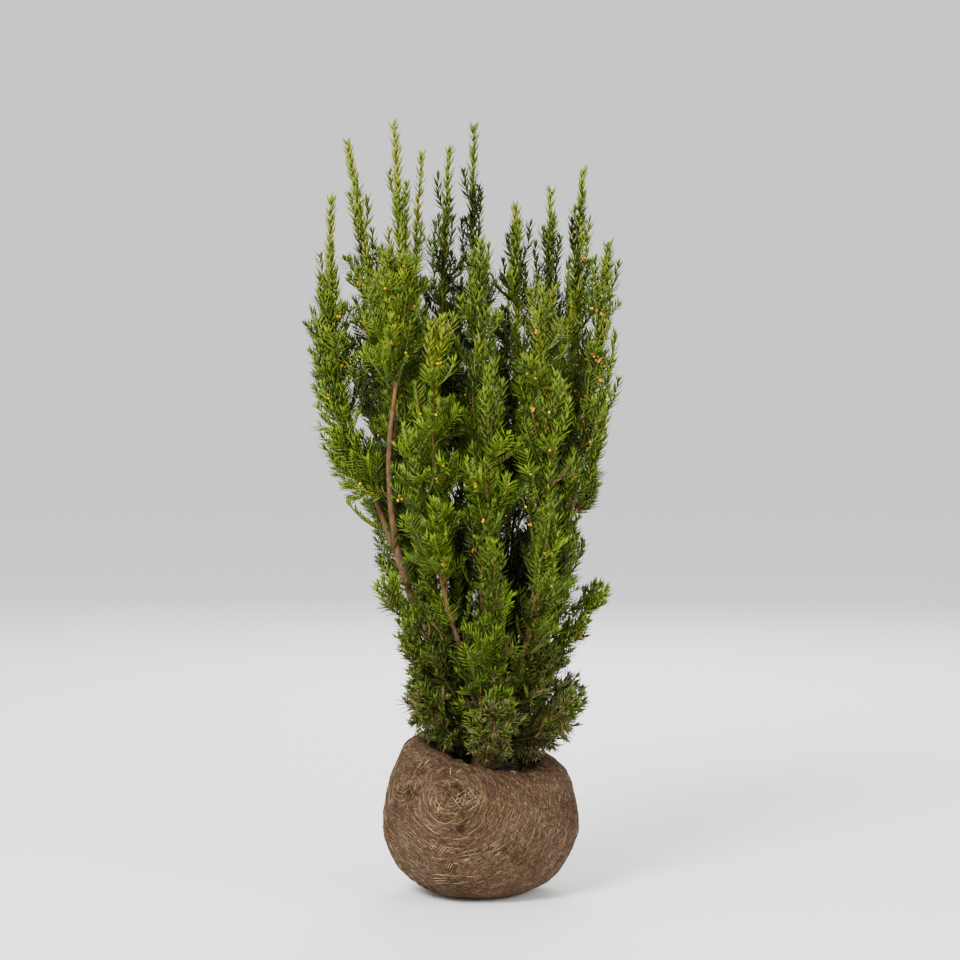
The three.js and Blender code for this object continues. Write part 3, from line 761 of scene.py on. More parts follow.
    def hugging(self, mass: Mass) -> Shoots:
        """Grows the upright shoots that hug the leader above its twigs, two of them nearly as tall.

        Args:
            mass: the mass that grows.

        Returns:
            Those shoots.
        """
        huggers = self.few_huggers if mass.name == "foliage_left_outer" else self.huggers
        number = np.arange(huggers)
        higher = number / self.huggers
        share = mix(1 - mass.bare * 1.2, 1 - mass.bare * 0.36, higher)
        base = mass.line.times(huggers)
        axis = base.heading(share)
        outward = across(level_ways(mass.turn + 2 + number * GOLDEN_ANGLE), axis)
        length = mix(*self.hugger_length, higher)
        length = length * mix(0.7, 1.2, chance(mass.index, number, Trait.HUGGER_LENGTH))
        away = mix(*self.hugger_away, chance(mass.index, number, Trait.HUGGER_AWAY))
        away = np.minimum(length * 0.3, away)
        bare_length = mass.line.length()[0] * mass.bare
        for twin, tall, near in self.twins:
            longer = mix(*self.twin_length, chance(mass.index, twin, tall)) * bare_length
            length[twin] = max(length[twin], longer)
            away[twin] = mix(*self.twin_away, chance(mass.index, twin, near))
        start = base.at(share)
        end = moved(start, (axis, length), (outward, away))
        bend = moved(start, (outward, away * 0.9), (axis, length * 0.3))
        lines, kept = self.fit(mass, Bends(start, bend, end), 2)
        seed = (mass.index * 31.0 + number + 0.5)[kept]
        return self.pack(mass, lines, unit(np.cross(axis, outward))[kept], HUGGER, seed)

    def hanging(self, mass: Mass) -> Shoots:
        """Grows the skirt's shoots that bend down over the rim of the ball.

        Args:
            mass: the mass that grows.

        Returns:
            Those shoots.
        """
        number = np.arange(self.hangers)
        share = mix(0.1, 0.95, (number + 0.5) / self.hangers)
        turn = self.hanger_turn * (chance(mass.index, number, Trait.HANGER_TURN) - 0.5)
        outward = level_ways(mass.open + turn)
        length = mix(*self.hanger_length, chance(mass.index, number, Trait.HANGER_LENGTH))
        start = mass.line.times(self.hangers).at(share)
        end = moved(start, (outward, length * 0.8))
        end[:, 2] -= length * mix(*self.hanger_drop, chance(mass.index, number, Trait.HANGER_DROP))
        bend = moved(start, (outward, length * 0.55))
        lines, kept = self.fit(mass, Bends(start, bend, end), -self.hanger_overlap)
        side = across(np.cross(outward, (0.0, 0.0, 1.0))[kept], lines.heading(np.full(len(kept), 0.5)))
        return self.pack(mass, lines, side, HANGER, (mass.index * 53.0 + number + 0.25)[kept])

    def clothing(self, limb: str, first: float, last: float, count: int) -> Shoots:
        """Grows the short shoots along one stem, each counted to the mass whose leader is nearest.

        Args:
            limb: the stem's name.
            first: where the lowest stands, as a share of the stem.
            last: where the highest would stand.
            count: how many.

        Returns:
            Those shoots.
        """
        number = np.arange(count)
        share = mix(first, last, number / count)
        base = self.crown.limbs.lines[limb].times(count)
        axis = base.heading(share)
        outward = across(level_ways(len(limb) + number * GOLDEN_ANGLE), axis)
        length = mix(*self.stem_shoot_length, chance(len(limb), number, Trait.STEM_SHOOT_LENGTH))[:, None]
        start = base.at(share)
        bend = start + (axis * 0.2 + outward * 0.4) * length
        lines = Bends(start, bend, start + (axis * 0.78 + outward * 0.56) * length)
        kept = np.flatnonzero(self.crown.off_limbs(lines.end, 2))
        nearest = distances(lines.end, np.stack([mass.path for mass in self.crown.masses])).argmin(axis=1)
        seed = (len(limb) * 7.0 + number)[kept]
        side = np.cross(axis, outward)[kept]
        shoots = self.pack(self.crown.masses[0], lines.pick(kept), side, STEM_SHOOT, seed)
        shoots.mass[:] = nearest[kept] + 1
        return shoots

    def sides(self, mass: Mass, parents: Shoots, order: int, step: float) -> Shoots:
        """Grows the side shoots of some shoots, to both sides of each in turn.

        Args:
            mass: the mass that grows.
            parents: the shoots that they leave.
            order: their rank below the leader.
            step: millimetres from one to the next along the parent.

        Returns:
            Those shoots.
        """
        lengths = parents.lines.length()
        counts = np.maximum(0, np.floor(lengths * self.sides_to / step)).astype(int)
        row = np.repeat(np.arange(len(counts)), counts)
        if not len(row):
            return parents.pick(row)
        number = np.arange(len(row)) - np.repeat(np.cumsum(counts) - counts, counts)
        seed = parents.seed[row] * 1.7 + number * 3.1 + order
        place = number + 0.35 + 0.5 * chance(mass.index, seed, Trait.SIDE_PLACE)
        share = place / (counts[row] / self.sides_to)
        base = parents.lines.pick(row)
        axis = base.heading(share)
        side = across(parents.side[row], axis)
        over = np.cross(axis, side)
        hand = np.where(number % 2 == 0, 1.0, -1.0)
        roll = (chance(mass.index, seed, Trait.SIDE_ROLL) - 0.5) * self.side_roll
        outward = side * (hand * np.cos(roll))[:, None] + over * np.sin(roll)[:, None]
        angle = np.radians(self.side_angle + 16 * (chance(mass.index, seed, Trait.SIDE_ANGLE) - 0.5))
        length = np.clip(lengths[row] * (1 - share) * 0.85, *self.side_length)
        length *= mix(0.7, 1.15, chance(mass.index, seed, Trait.SIDE_LENGTH))
        start = base.at(share)
        end = moved(start, (outward, np.sin(angle) * length), (axis, np.cos(angle) * length))
        bend = moved(mix(start, end, 0.5), (outward, length * 0.09))
        end[:, 2] += length * 0.12
        lines, kept = self.fit(mass, Bends(start, bend, end), 0)
        side = unit(np.cross(axis, outward))[kept]
        return self.pack(mass, lines, side, SIDE_SHOOT, seed[kept], order=order)

    def fit(self, mass: Mass, lines: Bends, clearance: float) -> tuple[Bends, Array]:
        """Cuts shoots off where they leave the mass's space, and drops those left too short.

        Args:
            mass: the mass that grows.
            lines: the shoots' lines.
            clearance: millimetres kept to neighbours and limbs; below zero they reach over.

        Returns:
            The lines that stay, and which of the old ones they are.
        """
        shares = np.linspace(0, 1, self.stations)
        beyond_foot = lines.at(np.tile(shares, (len(lines.start), 1)))[:, 2:]
        free = self.crown.inside(mass, beyond_foot, clearance)
        steps = np.argmin(np.c_[free, np.zeros(len(free), bool)], axis=1)
        kept = np.flatnonzero(steps >= self.fewest_stations)
        return lines.pick(kept).cut(shares[steps[kept] + 1]), kept


def scene_object(name: str, data: bpy.types.ID) -> bpy.types.Object:
    """Returns a new object of the scene that shows some data."""
    made = bpy.data.objects.new(name, data)
    bpy.context.scene.collection.objects.link(made)
    return made


def mesh_object(
    name: str, points: Array, corners: Array, sizes: Array, slots: Array | None = None,
) -> bpy.types.Object:
    """Makes a mesh object from arrays.

    Args:
        name: the piece's name.
        points: (N, 3) points in millimetres.
        corners: the faces' point numbers in a row.
        sizes: how many corners each face has.
        slots: each face's material number, or None.

    Returns:
        The object, linked to the scene.
    """
    mesh = bpy.data.meshes.new(name)
    mesh.vertices.add(len(points))
    mesh.vertices.foreach_set("co", (points * MM).astype(np.float32).ravel())
    mesh.loops.add(len(corners))
    mesh.loops.foreach_set("vertex_index", corners.astype(np.int32))
    mesh.polygons.add(len(sizes))
    mesh.polygons.foreach_set("loop_start", np.r_[0, np.cumsum(sizes)[:-1]].astype(np.int32))
    if slots is not None:
        mesh.polygons.foreach_set("material_index", slots.astype(np.int32))
    mesh.update(calc_edges=True)
    mesh.validate()
    return scene_object(name, mesh)


def bmesh_object(name: str, bm: bmesh.types.BMesh, smooth_shaded: bool = True) -> bpy.types.Object:
    """Writes a bmesh to a new object.

    Args:
        name: the piece's name.
        bm: the bmesh in millimetres, which is used up.
        smooth_shaded: whether its faces are shaded as one round surface.

    Returns:
        The object in metres, linked to the scene.
    """
    bmesh.ops.scale(bm, vec=(MM, MM, MM), verts=bm.verts)
    bmesh.ops.recalc_face_normals(bm, faces=bm.faces)
    mesh = bpy.data.meshes.new(name)
    bm.to_mesh(mesh)
    bm.free()
    mesh.polygons.foreach_set("use_smooth", [smooth_shaded] * len(mesh.polygons))
    return scene_object(name, mesh)


def settle(
    piece: bpy.types.Object, finishes: Sequence[bpy.types.Material], nodes: Sequence[str] = (),
) -> None:
    """Settles what a finished piece is and says so in the log.

    Args:
        piece: the piece.
        finishes: its materials, in the order of its faces' numbers.
        nodes: the solids that it stands for.
    """
    for finish in finishes:
        piece.data.materials.append(finish)
    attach(piece, BODY)
    if nodes:
        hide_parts(*nodes)
    log.info("%s: %d faces", piece.name, len(piece.data.polygons))


def tube_arrays(paths: Array, radii: Array, side: Array, corners: int) -> tuple[Array, Array, Array]:
    """Makes closed tubes along many paths.

    Args:
        paths: (N, K, 3) stations.
        radii: (N, K) radii.
        side: (N, 3) directions that set where the first corner stands.
        corners: corners of a section.

    Returns:
        Points, face corners and face sizes of all tubes joined.
    """
    count, rings = radii.shape
    along = unit(np.gradient(paths, axis=1))
    first = across(np.broadcast_to(side[:, None], paths.shape), along)
    second = np.cross(along, first)
    angles = np.arange(corners) / corners * 2 * math.pi
    around = first[:, :, None] * np.cos(angles)[:, None] + second[:, :, None] * np.sin(angles)[:, None]
    points = (paths[:, :, None] + around * radii[:, :, None, None]).reshape(-1, 3)
    quads = []
    for ring in range(rings - 1):
        for face in range(corners):
            after = (face + 1) % corners
            low, high = ring * corners, (ring + 1) * corners
            quads.append([low + face, low + after, high + after, high + face])
    last = (rings - 1) * corners
    caps = [*range(corners - 1, -1, -1), *(last + i for i in range(corners))]
    pattern = np.array([*np.ravel(quads), *caps])
    sizes = np.tile([4] * len(quads) + [corners, corners], count)
    offsets = np.arange(count) * rings * corners
    return points, (offsets[:, None] + pattern).ravel(), sizes


class Family(Enum):
    """Where on the plant a needle colour belongs, with its tints from painted sunlight to painted deep shade.
    """

    TOP = (Tint.LEADER_A, Tint.LEADER_B, Tint.FRESH_B, Tint.LEAF_B, Tint.LEAF_C, Tint.DEEP_A, Tint.DEEP_B)
    MIDDLE = (Tint.FRESH_A, Tint.FRESH_B, Tint.LEAF_A, Tint.LEAF_B, Tint.LEAF_C, Tint.DEEP_A, Tint.DEEP_B)
    LOW = (Tint.LEAF_A, Tint.LEAF_B, Tint.OLD_A, Tint.LEAF_C, Tint.OLD_B, Tint.DEEP_A, Tint.DEEP_B)
    SKIRT = (Tint.SKIRT_A, Tint.OLD_A, Tint.SKIRT_A, Tint.LEAF_B, Tint.SKIRT_B, Tint.OLD_B, Tint.DEEP_A)


@dataclass
class Needles:
    """All needles of the crown, each a slim closed blade with a keel along its upper side.

    Leans are in degrees from the shoot: a comb's and a brush's at the foot and the tip of the shoot.
    """

    masses: Sequence[Mass]
    length: float = 31
    width: float = 4.1
    keel: float = 0.9
    root_width: float = 0.6
    widest_at: float = 0.52
    upturn: float = 0.08
    spacing: float = 3.1
    brush_spacing: float = 2.9
    leader_spacing: float = 2.1
    comb_lean: Span = (66, 46)
    brush_lean: Span = (52, 38)
    leader_lean: float = 46
    tuft: int = 3
    tuft_at: float = 0.985
    tuft_size: float = 0.7
    brush_wider: float = 1.4
    leader_wider: float = 4.5
    faces: tuple = ((1, 0, 2), (0, 1, 4, 3), (2, 0, 3, 5), (1, 2, 5, 4), (3, 4, 6), (5, 3, 6), (4, 5, 6))
    under: tuple = (1, 1, 0, 0, 1, 0, 0)
    # The tints' shares of all needles, the heights where their families end, and what makes a spray darker
    dealt: tuple = (0.13, 0.32, 0.51, 0.67, 0.8, 0.92)
    family_tops: tuple = (400, 560, 1060)
    height_spread: float = 65
    shade_spread: float = 0.24
    # Painted light on sprays far out and on leaders, painted shade at each spray's foot, finer shoots darker
    outside_light: float = 0.75
    rank_shade: float = 0.06
    leader_light: float = 0.3
    skirt_below: float = 420
    skirt_spread: float = 0.3
    foot_shade: float = 0.22
    needle_spread: float = 0.06

    def grow(self, crown: Crown, shoots: Shoots) -> dict[int, Array]:
        """Places the needles and deals out their tints.

        Args:
            crown: the crown, whose limbs the needles keep off.
            shoots: all its shoots.

        Returns:
            For each tint number, the needles' (N, 7, 3) corners.
        """
        lengths = shoots.lines.length() * (1 - shoots.needled_from)
        is_brush = shoots.habit == Habit.BRUSH.value
        spacing = np.where(is_brush, self.brush_spacing, self.spacing)
        spacing = np.where(shoots.order == 0, self.leader_spacing, spacing)
        counts = np.maximum(3, lengths / spacing).astype(int)
        row = np.repeat(np.arange(len(counts)), counts + self.tuft)
        starts = np.cumsum(counts + self.tuft) - counts - self.tuft
        number = np.arange(len(row)) - starts[row]
        is_even = number % 2 == 0
        is_tuft = number >= counts[row]
        is_comb = ~is_brush[row] & ~is_tuft
        on_leader = shoots.order[row] == 0
        dice = np.random.default_rng(SEED)
        jitter = dice.uniform(-1, 1, (len(row), 6))
        along = np.where(is_tuft, self.tuft_at, (number + 0.5 + 0.3 * jitter[:, 0]) / counts[row])
        share = mix(shoots.needled_from[row], 1, along)
        lines = shoots.lines.pick(row)
        base, axis = lines.at(share), lines.heading(share)
        side = across(shoots.side[row], axis)
        over = np.cross(axis, side)
        in_comb = np.where(is_even, 0.0, math.pi) + np.where(is_even, 1, -1) * (0.3 + 0.26 * jitter[:, 1])
        azimuth = np.where(is_comb, in_comb, number * GOLDEN_ANGLE + 0.4 * jitter[:, 1])
        brush_lean = np.where(on_leader, self.leader_lean, mix(*self.brush_lean, along))
        lean = np.where(is_comb, mix(*self.comb_lean, along**2), brush_lean) + 6 * jitter[:, 2]
        lean = np.radians(np.where(is_tuft, 24 + 16 * jitter[:, 2], lean))
        outward = side * np.cos(azimuth)[:, None] + over * np.sin(azimuth)[:, None]
        way = outward * np.sin(lean)[:, None] + axis * np.cos(lean)[:, None]
        way[:, 2] += self.upturn
        way = unit(way)
        normal = across(axis + over * np.where(is_comb, 0.5, 0.0)[:, None], way)
        size = self.length * shoots.needle[row] * (1 + 0.14 * jitter[:, 3])
        tapering = mix(0.78, 1.0, np.sin(np.clip(along, 0, 1) * math.pi) ** 0.6)
        size *= tapering * np.where(is_tuft, self.tuft_size, 1)
        kept = crown.off_limbs(base + way * size[:, None], 0)
        tint = self.deal(shoots, row, along, dice)
        wider = np.where(on_leader, self.leader_wider, np.where(is_comb, 0, self.brush_wider))
        corners = self.shape(base, way, normal, size, jitter[:, 4] + wider)
        log.info("needles: %d of %d", kept.sum(), len(kept))
        return {n: corners[kept & (tint == n)] for n in range(len(TINTS))}

    def shape(self, base: Array, way: Array, normal: Array, size: Array, wider: Array) -> Array:
        """Shapes each needle: a section of three corners at its root, its widest one, and its tip.

        Args:
            base: (N, 3) roots.
            way: (N, 3) directions from root to tip.
            normal: (N, 3) directions of the upper side.
            size: (N,) lengths.
            wider: (N,) eighths by which each needle is wider than most.

        Returns:
            (N, 7, 3) corners.
        """
        side = np.cross(way, normal)
        wide = (self.width * (1 + 0.12 * wider) / 2)[:, None]
        curl = (size * (0.05 + 0.03 * wider))[:, None]

        def section(share: float, breadth: float) -> list[Array]:
            """Returns left, right and keel at a share of the needle."""
            middle = base + way * (size * share)[:, None] + normal * curl * share**2
            half = side * wide * breadth
            return [middle - half, middle + half, middle + normal * self.keel * breadth]

        tip = base + way * size[:, None] + normal * curl
        return np.stack([*section(0.02, self.root_width), *section(self.widest_at, 1.0), tip], axis=1)

    def deal(self, shoots: Shoots, row: Array, along: Array, dice: np.random.Generator) -> Array:
        """Deals a tint to each needle by height, with painted light far out and painted shade at a spray's
        foot.

        Args:
            shoots: the crown's shoots.
            row: each needle's shoot.
            along: each needle's place along its shoot.
            dice: the seeded generator.

        Returns:
            Each needle's tint number.
        """
        end = shoots.lines.end
        count = len(end)
        height = end[:, 2] + dice.normal(0, self.height_spread, count)
        outer = np.hypot(end[:, 0] - TRUNK_X - 10, end[:, 1]) / crown_breadth(end[:, 2])
        shadow = np.array([SHADOWS.get(mass.name.removeprefix("foliage_"), 0) for mass in self.masses])
        # Painted light on sprays far out from the trunk and painted shade on those inside, round a random
        # spread
        shade = dice.normal(0, self.shade_spread, count) - self.outside_light * np.minimum(outer, 1)
        shade += self.rank_shade * shoots.order
        # Painted shade on the plumes in SHADOWS, painted light on those below zero and on leaders, which are
        # also fresh growth
        shade += shadow[shoots.mass - 1] - self.leader_light * (shoots.order == 0)
        shade += dice.normal(0, self.skirt_spread, count) * (height < self.skirt_below)
        # Painted shade towards each spray's foot, with a little random spread for each needle
        each = shade[row] + self.foot_shade * (0.6 - along) + dice.normal(0, self.needle_spread, len(row))
        order = np.argsort(np.argsort(each))
        level = np.searchsorted(self.dealt, order / len(row))
        families = (Family.SKIRT, Family.LOW, Family.MIDDLE, Family.TOP)
        ladder = np.array([[TINT_INDEX[tint] for tint in family.value] for family in families])
        return ladder[np.searchsorted(self.family_tops, height)[row], level]

    def build(self, crown: Crown, shoots: Shoots) -> None:
        """Makes one piece for each tint and lets it stand for the masses that it grows in.

        Args:
            crown: the crown.
            shoots: all its shoots.
        """
        names = [mass.name for mass in crown.masses]
        flat = np.concatenate([np.array(face) for face in self.faces])
        sizes = np.array([len(face) for face in self.faces])
        for number, corners in self.grow(crown, shoots).items():
            count = len(corners)
            finish = TINTS[number].value
            loops = (np.arange(count)[:, None] * 7 + flat).ravel()
            piece = mesh_object(
                f"needles_{finish.name}", corners.reshape(-1, 3), loops,
                np.tile(sizes, count), np.tile(np.array(self.under), count),
            )
            settle(piece, needle_materials(finish), names)


# How much darker than their height and place some plumes are, as painted shade; below zero brighter, as
# painted light
SHADOWS = {
    "rear": 0.3, "mid_rear": 0.4, "inner_left": 0.4, "inner_right": 0.4, "centre_left": 0.12,
    "rear_far": 0.2, "rear_left": 0.25, "right_back": 0.2, "left_back": 0.12, "left_outer": 0.1,
    "left_tall": 0.02, "front": -0.08, "centre": -0.1, "right_front": -0.1, "mid_front": -0.1,
}


def put(
    tree: Tree, kind: str, inputs: Inputs | None = None, stops: Stops = (), **settings: object,
) -> bpy.types.Node:
    """Adds a node with its settings and its inputs.

    Args:
        tree: the material's nodes.
        kind: the node's type.
        inputs: for each input's name or number, a value, or the output to link to it.
        stops: a colour ramp's places from 0 to 1, each with its hex colour.
        settings: the node's own properties.

    Returns:
        The node.
    """
    node = tree.nodes.new(kind)
    for key, value in settings.items():
        setattr(node, key, value)
    for key, value in (inputs or {}).items():
        if isinstance(value, Socket):
            tree.links.new(value, node.inputs[key])
        else:
            node.inputs[key].default_value = value
    if stops:
        elements = node.color_ramp.elements
        between = [elements.new(0.5) for _ in stops[2:]]
        for (place, colour), element in zip(stops, (elements[0], *between, elements[-1])):
            element.position = place
            element.color = linear(colour)
    return node


def per_metre(size: float) -> float:
    """Returns how many strips, threads or lumps of a size in millimetres lie in a metre."""
    return 1 / (size * MM)


def new_material(name: str) -> tuple[bpy.types.Material, Tree]:
    """Starts a node material.

    Args:
        name: the material's name.

    Returns:
        The material and its nodes, of which there are none yet.
    """
    material = bpy.data.materials.new(name)
    material.use_nodes = True
    material.node_tree.nodes.clear()
    return material, material.node_tree


def close_material(tree: Tree, inputs: Inputs) -> None:
    """Ends a material in a Principled shader with these inputs."""
    shader = put(tree, "ShaderNodeBsdfPrincipled", inputs)
    put(tree, "ShaderNodeOutputMaterial", {"Surface": shader.outputs["BSDF"]})


def needle_materials(finish: NeedleFinish) -> list[bpy.types.Material]:
    """Makes a needle's two finishes.

    Args:
        finish: the needle's colours.

    Returns:
        The waxed upper side and the dull underside.
    """
    made = []
    for part, colour, roughness in (("upper", finish.upper, finish.gloss), ("under", finish.under, 0.62)):
        material, tree = new_material(f"yew_needle_{finish.name}_{part}")
        inputs = {"Base Color": linear(colour), "Roughness": roughness, "Specular IOR Level": 0.15}
        close_material(tree, inputs)
        made.append(material)
    return made


class BarkFinish(Enum):
    """Yew bark by age: colour of the plates, colour of the cracks."""

    OLD = ("#6b4a26", "#342112")
    YOUNG = ("#7c5826", "#4e3418")
    GREEN = ("#6f7626", "#58541c")


def bark_material(finish: BarkFinish) -> bpy.types.Material:
    """Makes yew bark: thin flaking strips along the limb, reddish where they have come off.

    Args:
        finish: the bark's age.

    Returns:
        The material.
    """
    material, tree = new_material(f"yew_bark_{finish.name.lower()}")
    place = put(tree, "ShaderNodeTexCoord").outputs["Object"]
    scale = (per_metre(3.85), per_metre(3.85), per_metre(21.7))
    strips = put(tree, "ShaderNodeMapping", {"Vector": place, "Scale": scale}).outputs["Vector"]
    inputs = {"Vector": strips, "Scale": 1.0, "Detail": 6.0, "Roughness": 0.62}
    grain = put(tree, "ShaderNodeTexNoise", inputs).outputs["Fac"]
    plates, cracks = finish.value
    stops = ((0.36, cracks), (0.62, plates))
    colour = put(tree, "ShaderNodeValToRGB", {"Fac": grain}, stops).outputs["Color"]
    inputs = {"Height": grain, "Strength": 0.5, "Distance": 1.5 * MM}
    relief = put(tree, "ShaderNodeBump", inputs).outputs["Normal"]
    close_material(tree, {"Base Color": colour, "Roughness": 0.82, "Normal": relief})
    return material


@dataclass
class Twigs:
    """The shoots themselves, joined by age into slim tapering tubes."""

    rings: int = 4
    corners: int = 3
    leader_rings: int = 15
    leader_corners: int = 8
    brown_below: float = 480
    brown_twigs_below: float = 1000

    def build(self, crown: Crown, shoots: Shoots) -> None:
        """Makes one piece of older brown shoots and one of the year's green ones.

        Args:
            crown: the crown.
            shoots: all its shoots.
        """
        names = [mass.name for mass in crown.masses]
        height = shoots.lines.end[:, 2]
        is_old = (shoots.order == 0) | (height < self.brown_below)
        is_old |= (shoots.order == 1) & (height < self.brown_twigs_below)
        for name, rows, finish in (
            ("twigs_brown", np.flatnonzero(is_old), BarkFinish.YOUNG),
            ("twigs_green", np.flatnonzero(~is_old), BarkFinish.GREEN),
        ):
            some = shoots.pick(rows)
            leaders = some.order == 0
            arrays = []
            for chosen, rings, corners in (
                (leaders, self.leader_rings, self.leader_corners), (~leaders, self.rings, self.corners),
            ):
                part = some.pick(np.flatnonzero(chosen))
                shares = np.tile(np.linspace(0, 1, rings), (len(part.side), 1))
                radii = mix(part.radius[:, None], part.tip_radius[:, None], shares)
                arrays.append(tube_arrays(part.lines.at(shares), radii, part.side + 0.001, corners))
            points, loops, sizes = zip(*arrays)
            loops = np.concatenate([loops[0], loops[1] + len(points[0])])
            piece = mesh_object(name, np.concatenate(points), loops, np.concatenate(sizes))
            settle(piece, [bark_material(finish)], names)


@dataclass
class Cones:
    """Pollen cones: pale round buds, singly and in small groups, on the underside of upper shoots."""

    radius: float = 2.4
    groups: int = 400
    group_sizes: tuple = (1, 1, 2, 3, 4, 5)
    place: Span = (0.35, 0.9)
    stand_off: Span = (1.2, 2.4)
    uneven_size: Span = (0.8, 1.15)

    def build(self, shoots: Shoots) -> None:
        """Strews the cones over the shoots, thickest high on the right.

        Args:
            shoots: all the crown's shoots.
        """
        dice = np.random.default_rng(SEED + 1)
        end = shoots.lines.end
        upper = smooth(end[:, 2], 560, 1000) * (1 - 0.75 * smooth(end[:, 2], 1180, 1400))
        outer = np.hypot(end[:, 0] - TRUNK_X, end[:, 1]) / crown_breadth(end[:, 2])
        weight = (0.1 + upper) * (0.35 + smooth(end[:, 0], -60, 160)) * (shoots.order >= 1)
        weight *= smooth(outer, 0.35, 0.85)
        rows = dice.choice(len(weight), self.groups, p=weight / weight.sum(), replace=False)
        points, loops = [], []
        ball, triangles = self.ball()
        for row in rows:
            share = dice.uniform(*self.place)
            spot = shoots.lines.pick(np.array([row])).at(np.array([share]))[0]
            for _ in range(int(dice.choice(self.group_sizes))):
                way = dice.normal(0, 1, 3)
                way /= np.linalg.norm(way)
                middle = spot + way * self.radius * dice.uniform(*self.stand_off)
                loops.append(triangles + len(points) * len(ball))
                points.append(ball * self.radius * dice.uniform(*self.uneven_size) + middle)
        corners = np.concatenate(loops)
        piece = mesh_object("pollen_cones", np.concatenate(points), corners, np.full(len(corners) // 3, 3))
        piece.data.polygons.foreach_set("use_smooth", [True] * len(piece.data.polygons))
        settle(piece, [self.finish()])

    @staticmethod
    def ball() -> tuple[Array, Array]:
        """Makes a small round bud.

        Returns:
            Its points and its triangles' corners.
        """
        bm = bmesh.new()
        bmesh.ops.create_icosphere(bm, subdivisions=2, radius=1.0)
        points = np.array([vert.co[:] for vert in bm.verts])
        corners = np.array([vert.index for face in bm.faces for vert in face.verts])
        bm.free()
        return points, corners

    @staticmethod
    def finish() -> bpy.types.Material:
        """Makes the cones' skin: pale yellow scales that turn orange, matt and slightly mottled.

        Returns:
            The material.
        """
        material, tree = new_material("pollen_cone_scales")
        place = put(tree, "ShaderNodeTexCoord").outputs["Object"]
        inputs = {"Vector": place, "Scale": per_metre(33.3), "Detail": 2.0}
        patch = put(tree, "ShaderNodeTexNoise", inputs).outputs["Fac"]
        stops = ((0.4, "#b8700e"), (0.58, "#e6ae22"))
        colour = put(tree, "ShaderNodeValToRGB", {"Fac": patch}, stops).outputs["Color"]
        close_material(tree, {"Base Color": colour, "Roughness": 0.6})
        return material


@dataclass
class Stems:
    """The trunk and stems, with the bark's relief in their meshes."""

    segments: int = 14
    step: float = 9
    fewest_rings: int = 8
    relief: float = 0.55
    plate_width: float = 5
    plate_length: float = 26

    def build(self, limbs: Limbs) -> None:
        """Makes one piece for each limb, in place of its solid.

        Args:
            limbs: the planned limbs.
        """
        finish = bark_material(BarkFinish.OLD)
        for number, (name, line) in enumerate(limbs.lines.items()):
            rings = max(self.fewest_rings, round(float(line.length()[0]) / self.step))
            shares = np.linspace(0, 1, rings + 1)
            points, ways = line.at(shares[None])[0], line.heading(shares[None])[0]
            flare = ROOT_FLARE * (1 - shares) ** 3 if name == "trunk" else 0 * shares
            bm = self.sweep(points, ways, mix(*limbs.radii[name], shares) + flare)
            self.roughen(bm, number)
            settle(bmesh_object(f"bark_{name}", bm), [finish], [name])

    def sweep(self, points: Array, ways: Array, radii: Array) -> bmesh.types.BMesh:
        """Sweeps a limb from a circle along its stations.

        Args:
            points: (N, 3) stations.
            ways: (N, 3) directions of the limb at each.
            radii: (N,) radii.

        Returns:
            The limb, closed at both ends.
        """
        bm = bmesh.new()
        bmesh.ops.create_circle(bm, cap_ends=True, radius=1.0, segments=self.segments)
        turns = [Vector((0, 0, 1)).rotation_difference(Vector(way)).to_matrix().to_4x4() for way in ways]
        places = [
            Matrix.Translation(Vector(point)) @ turn @ Matrix.Diagonal((radius, radius, radius, 1))
            for point, turn, radius in zip(points, turns, radii)
        ]
        bmesh.ops.transform(bm, matrix=places[0], verts=bm.verts)
        face = bm.faces[:][0]
        for before, after in zip(places, places[1:]):
            grown = bmesh.ops.extrude_face_region(bm, geom=[face], use_keep_orig=before is places[0])
            verts = [item for item in grown["geom"] if isinstance(item, bmesh.types.BMVert)]
            face = next(item for item in grown["geom"] if isinstance(item, bmesh.types.BMFace))
            bmesh.ops.transform(bm, matrix=after @ before.inverted(), verts=verts)
        return bm

    def roughen(self, bm: bmesh.types.BMesh, number: int) -> None:
        """Raises the bark's plates: long along the limb, narrow round it.

        Args:
            bm: the limb.
            number: the limb's number, so that no two are alike.
        """
        bm.normal_update()
        for vert in bm.verts:
            x, y, z = vert.co
            spot = Vector((x / self.plate_width, y / self.plate_width, z / self.plate_length + number * 7))
            vert.co += vert.normal * self.relief * noise.fractal(spot, 0.6, 2.0, 3)


# How softly the rings of threads round one knot pass into the next one's, in millimetres
RING_BLEND = 14.0


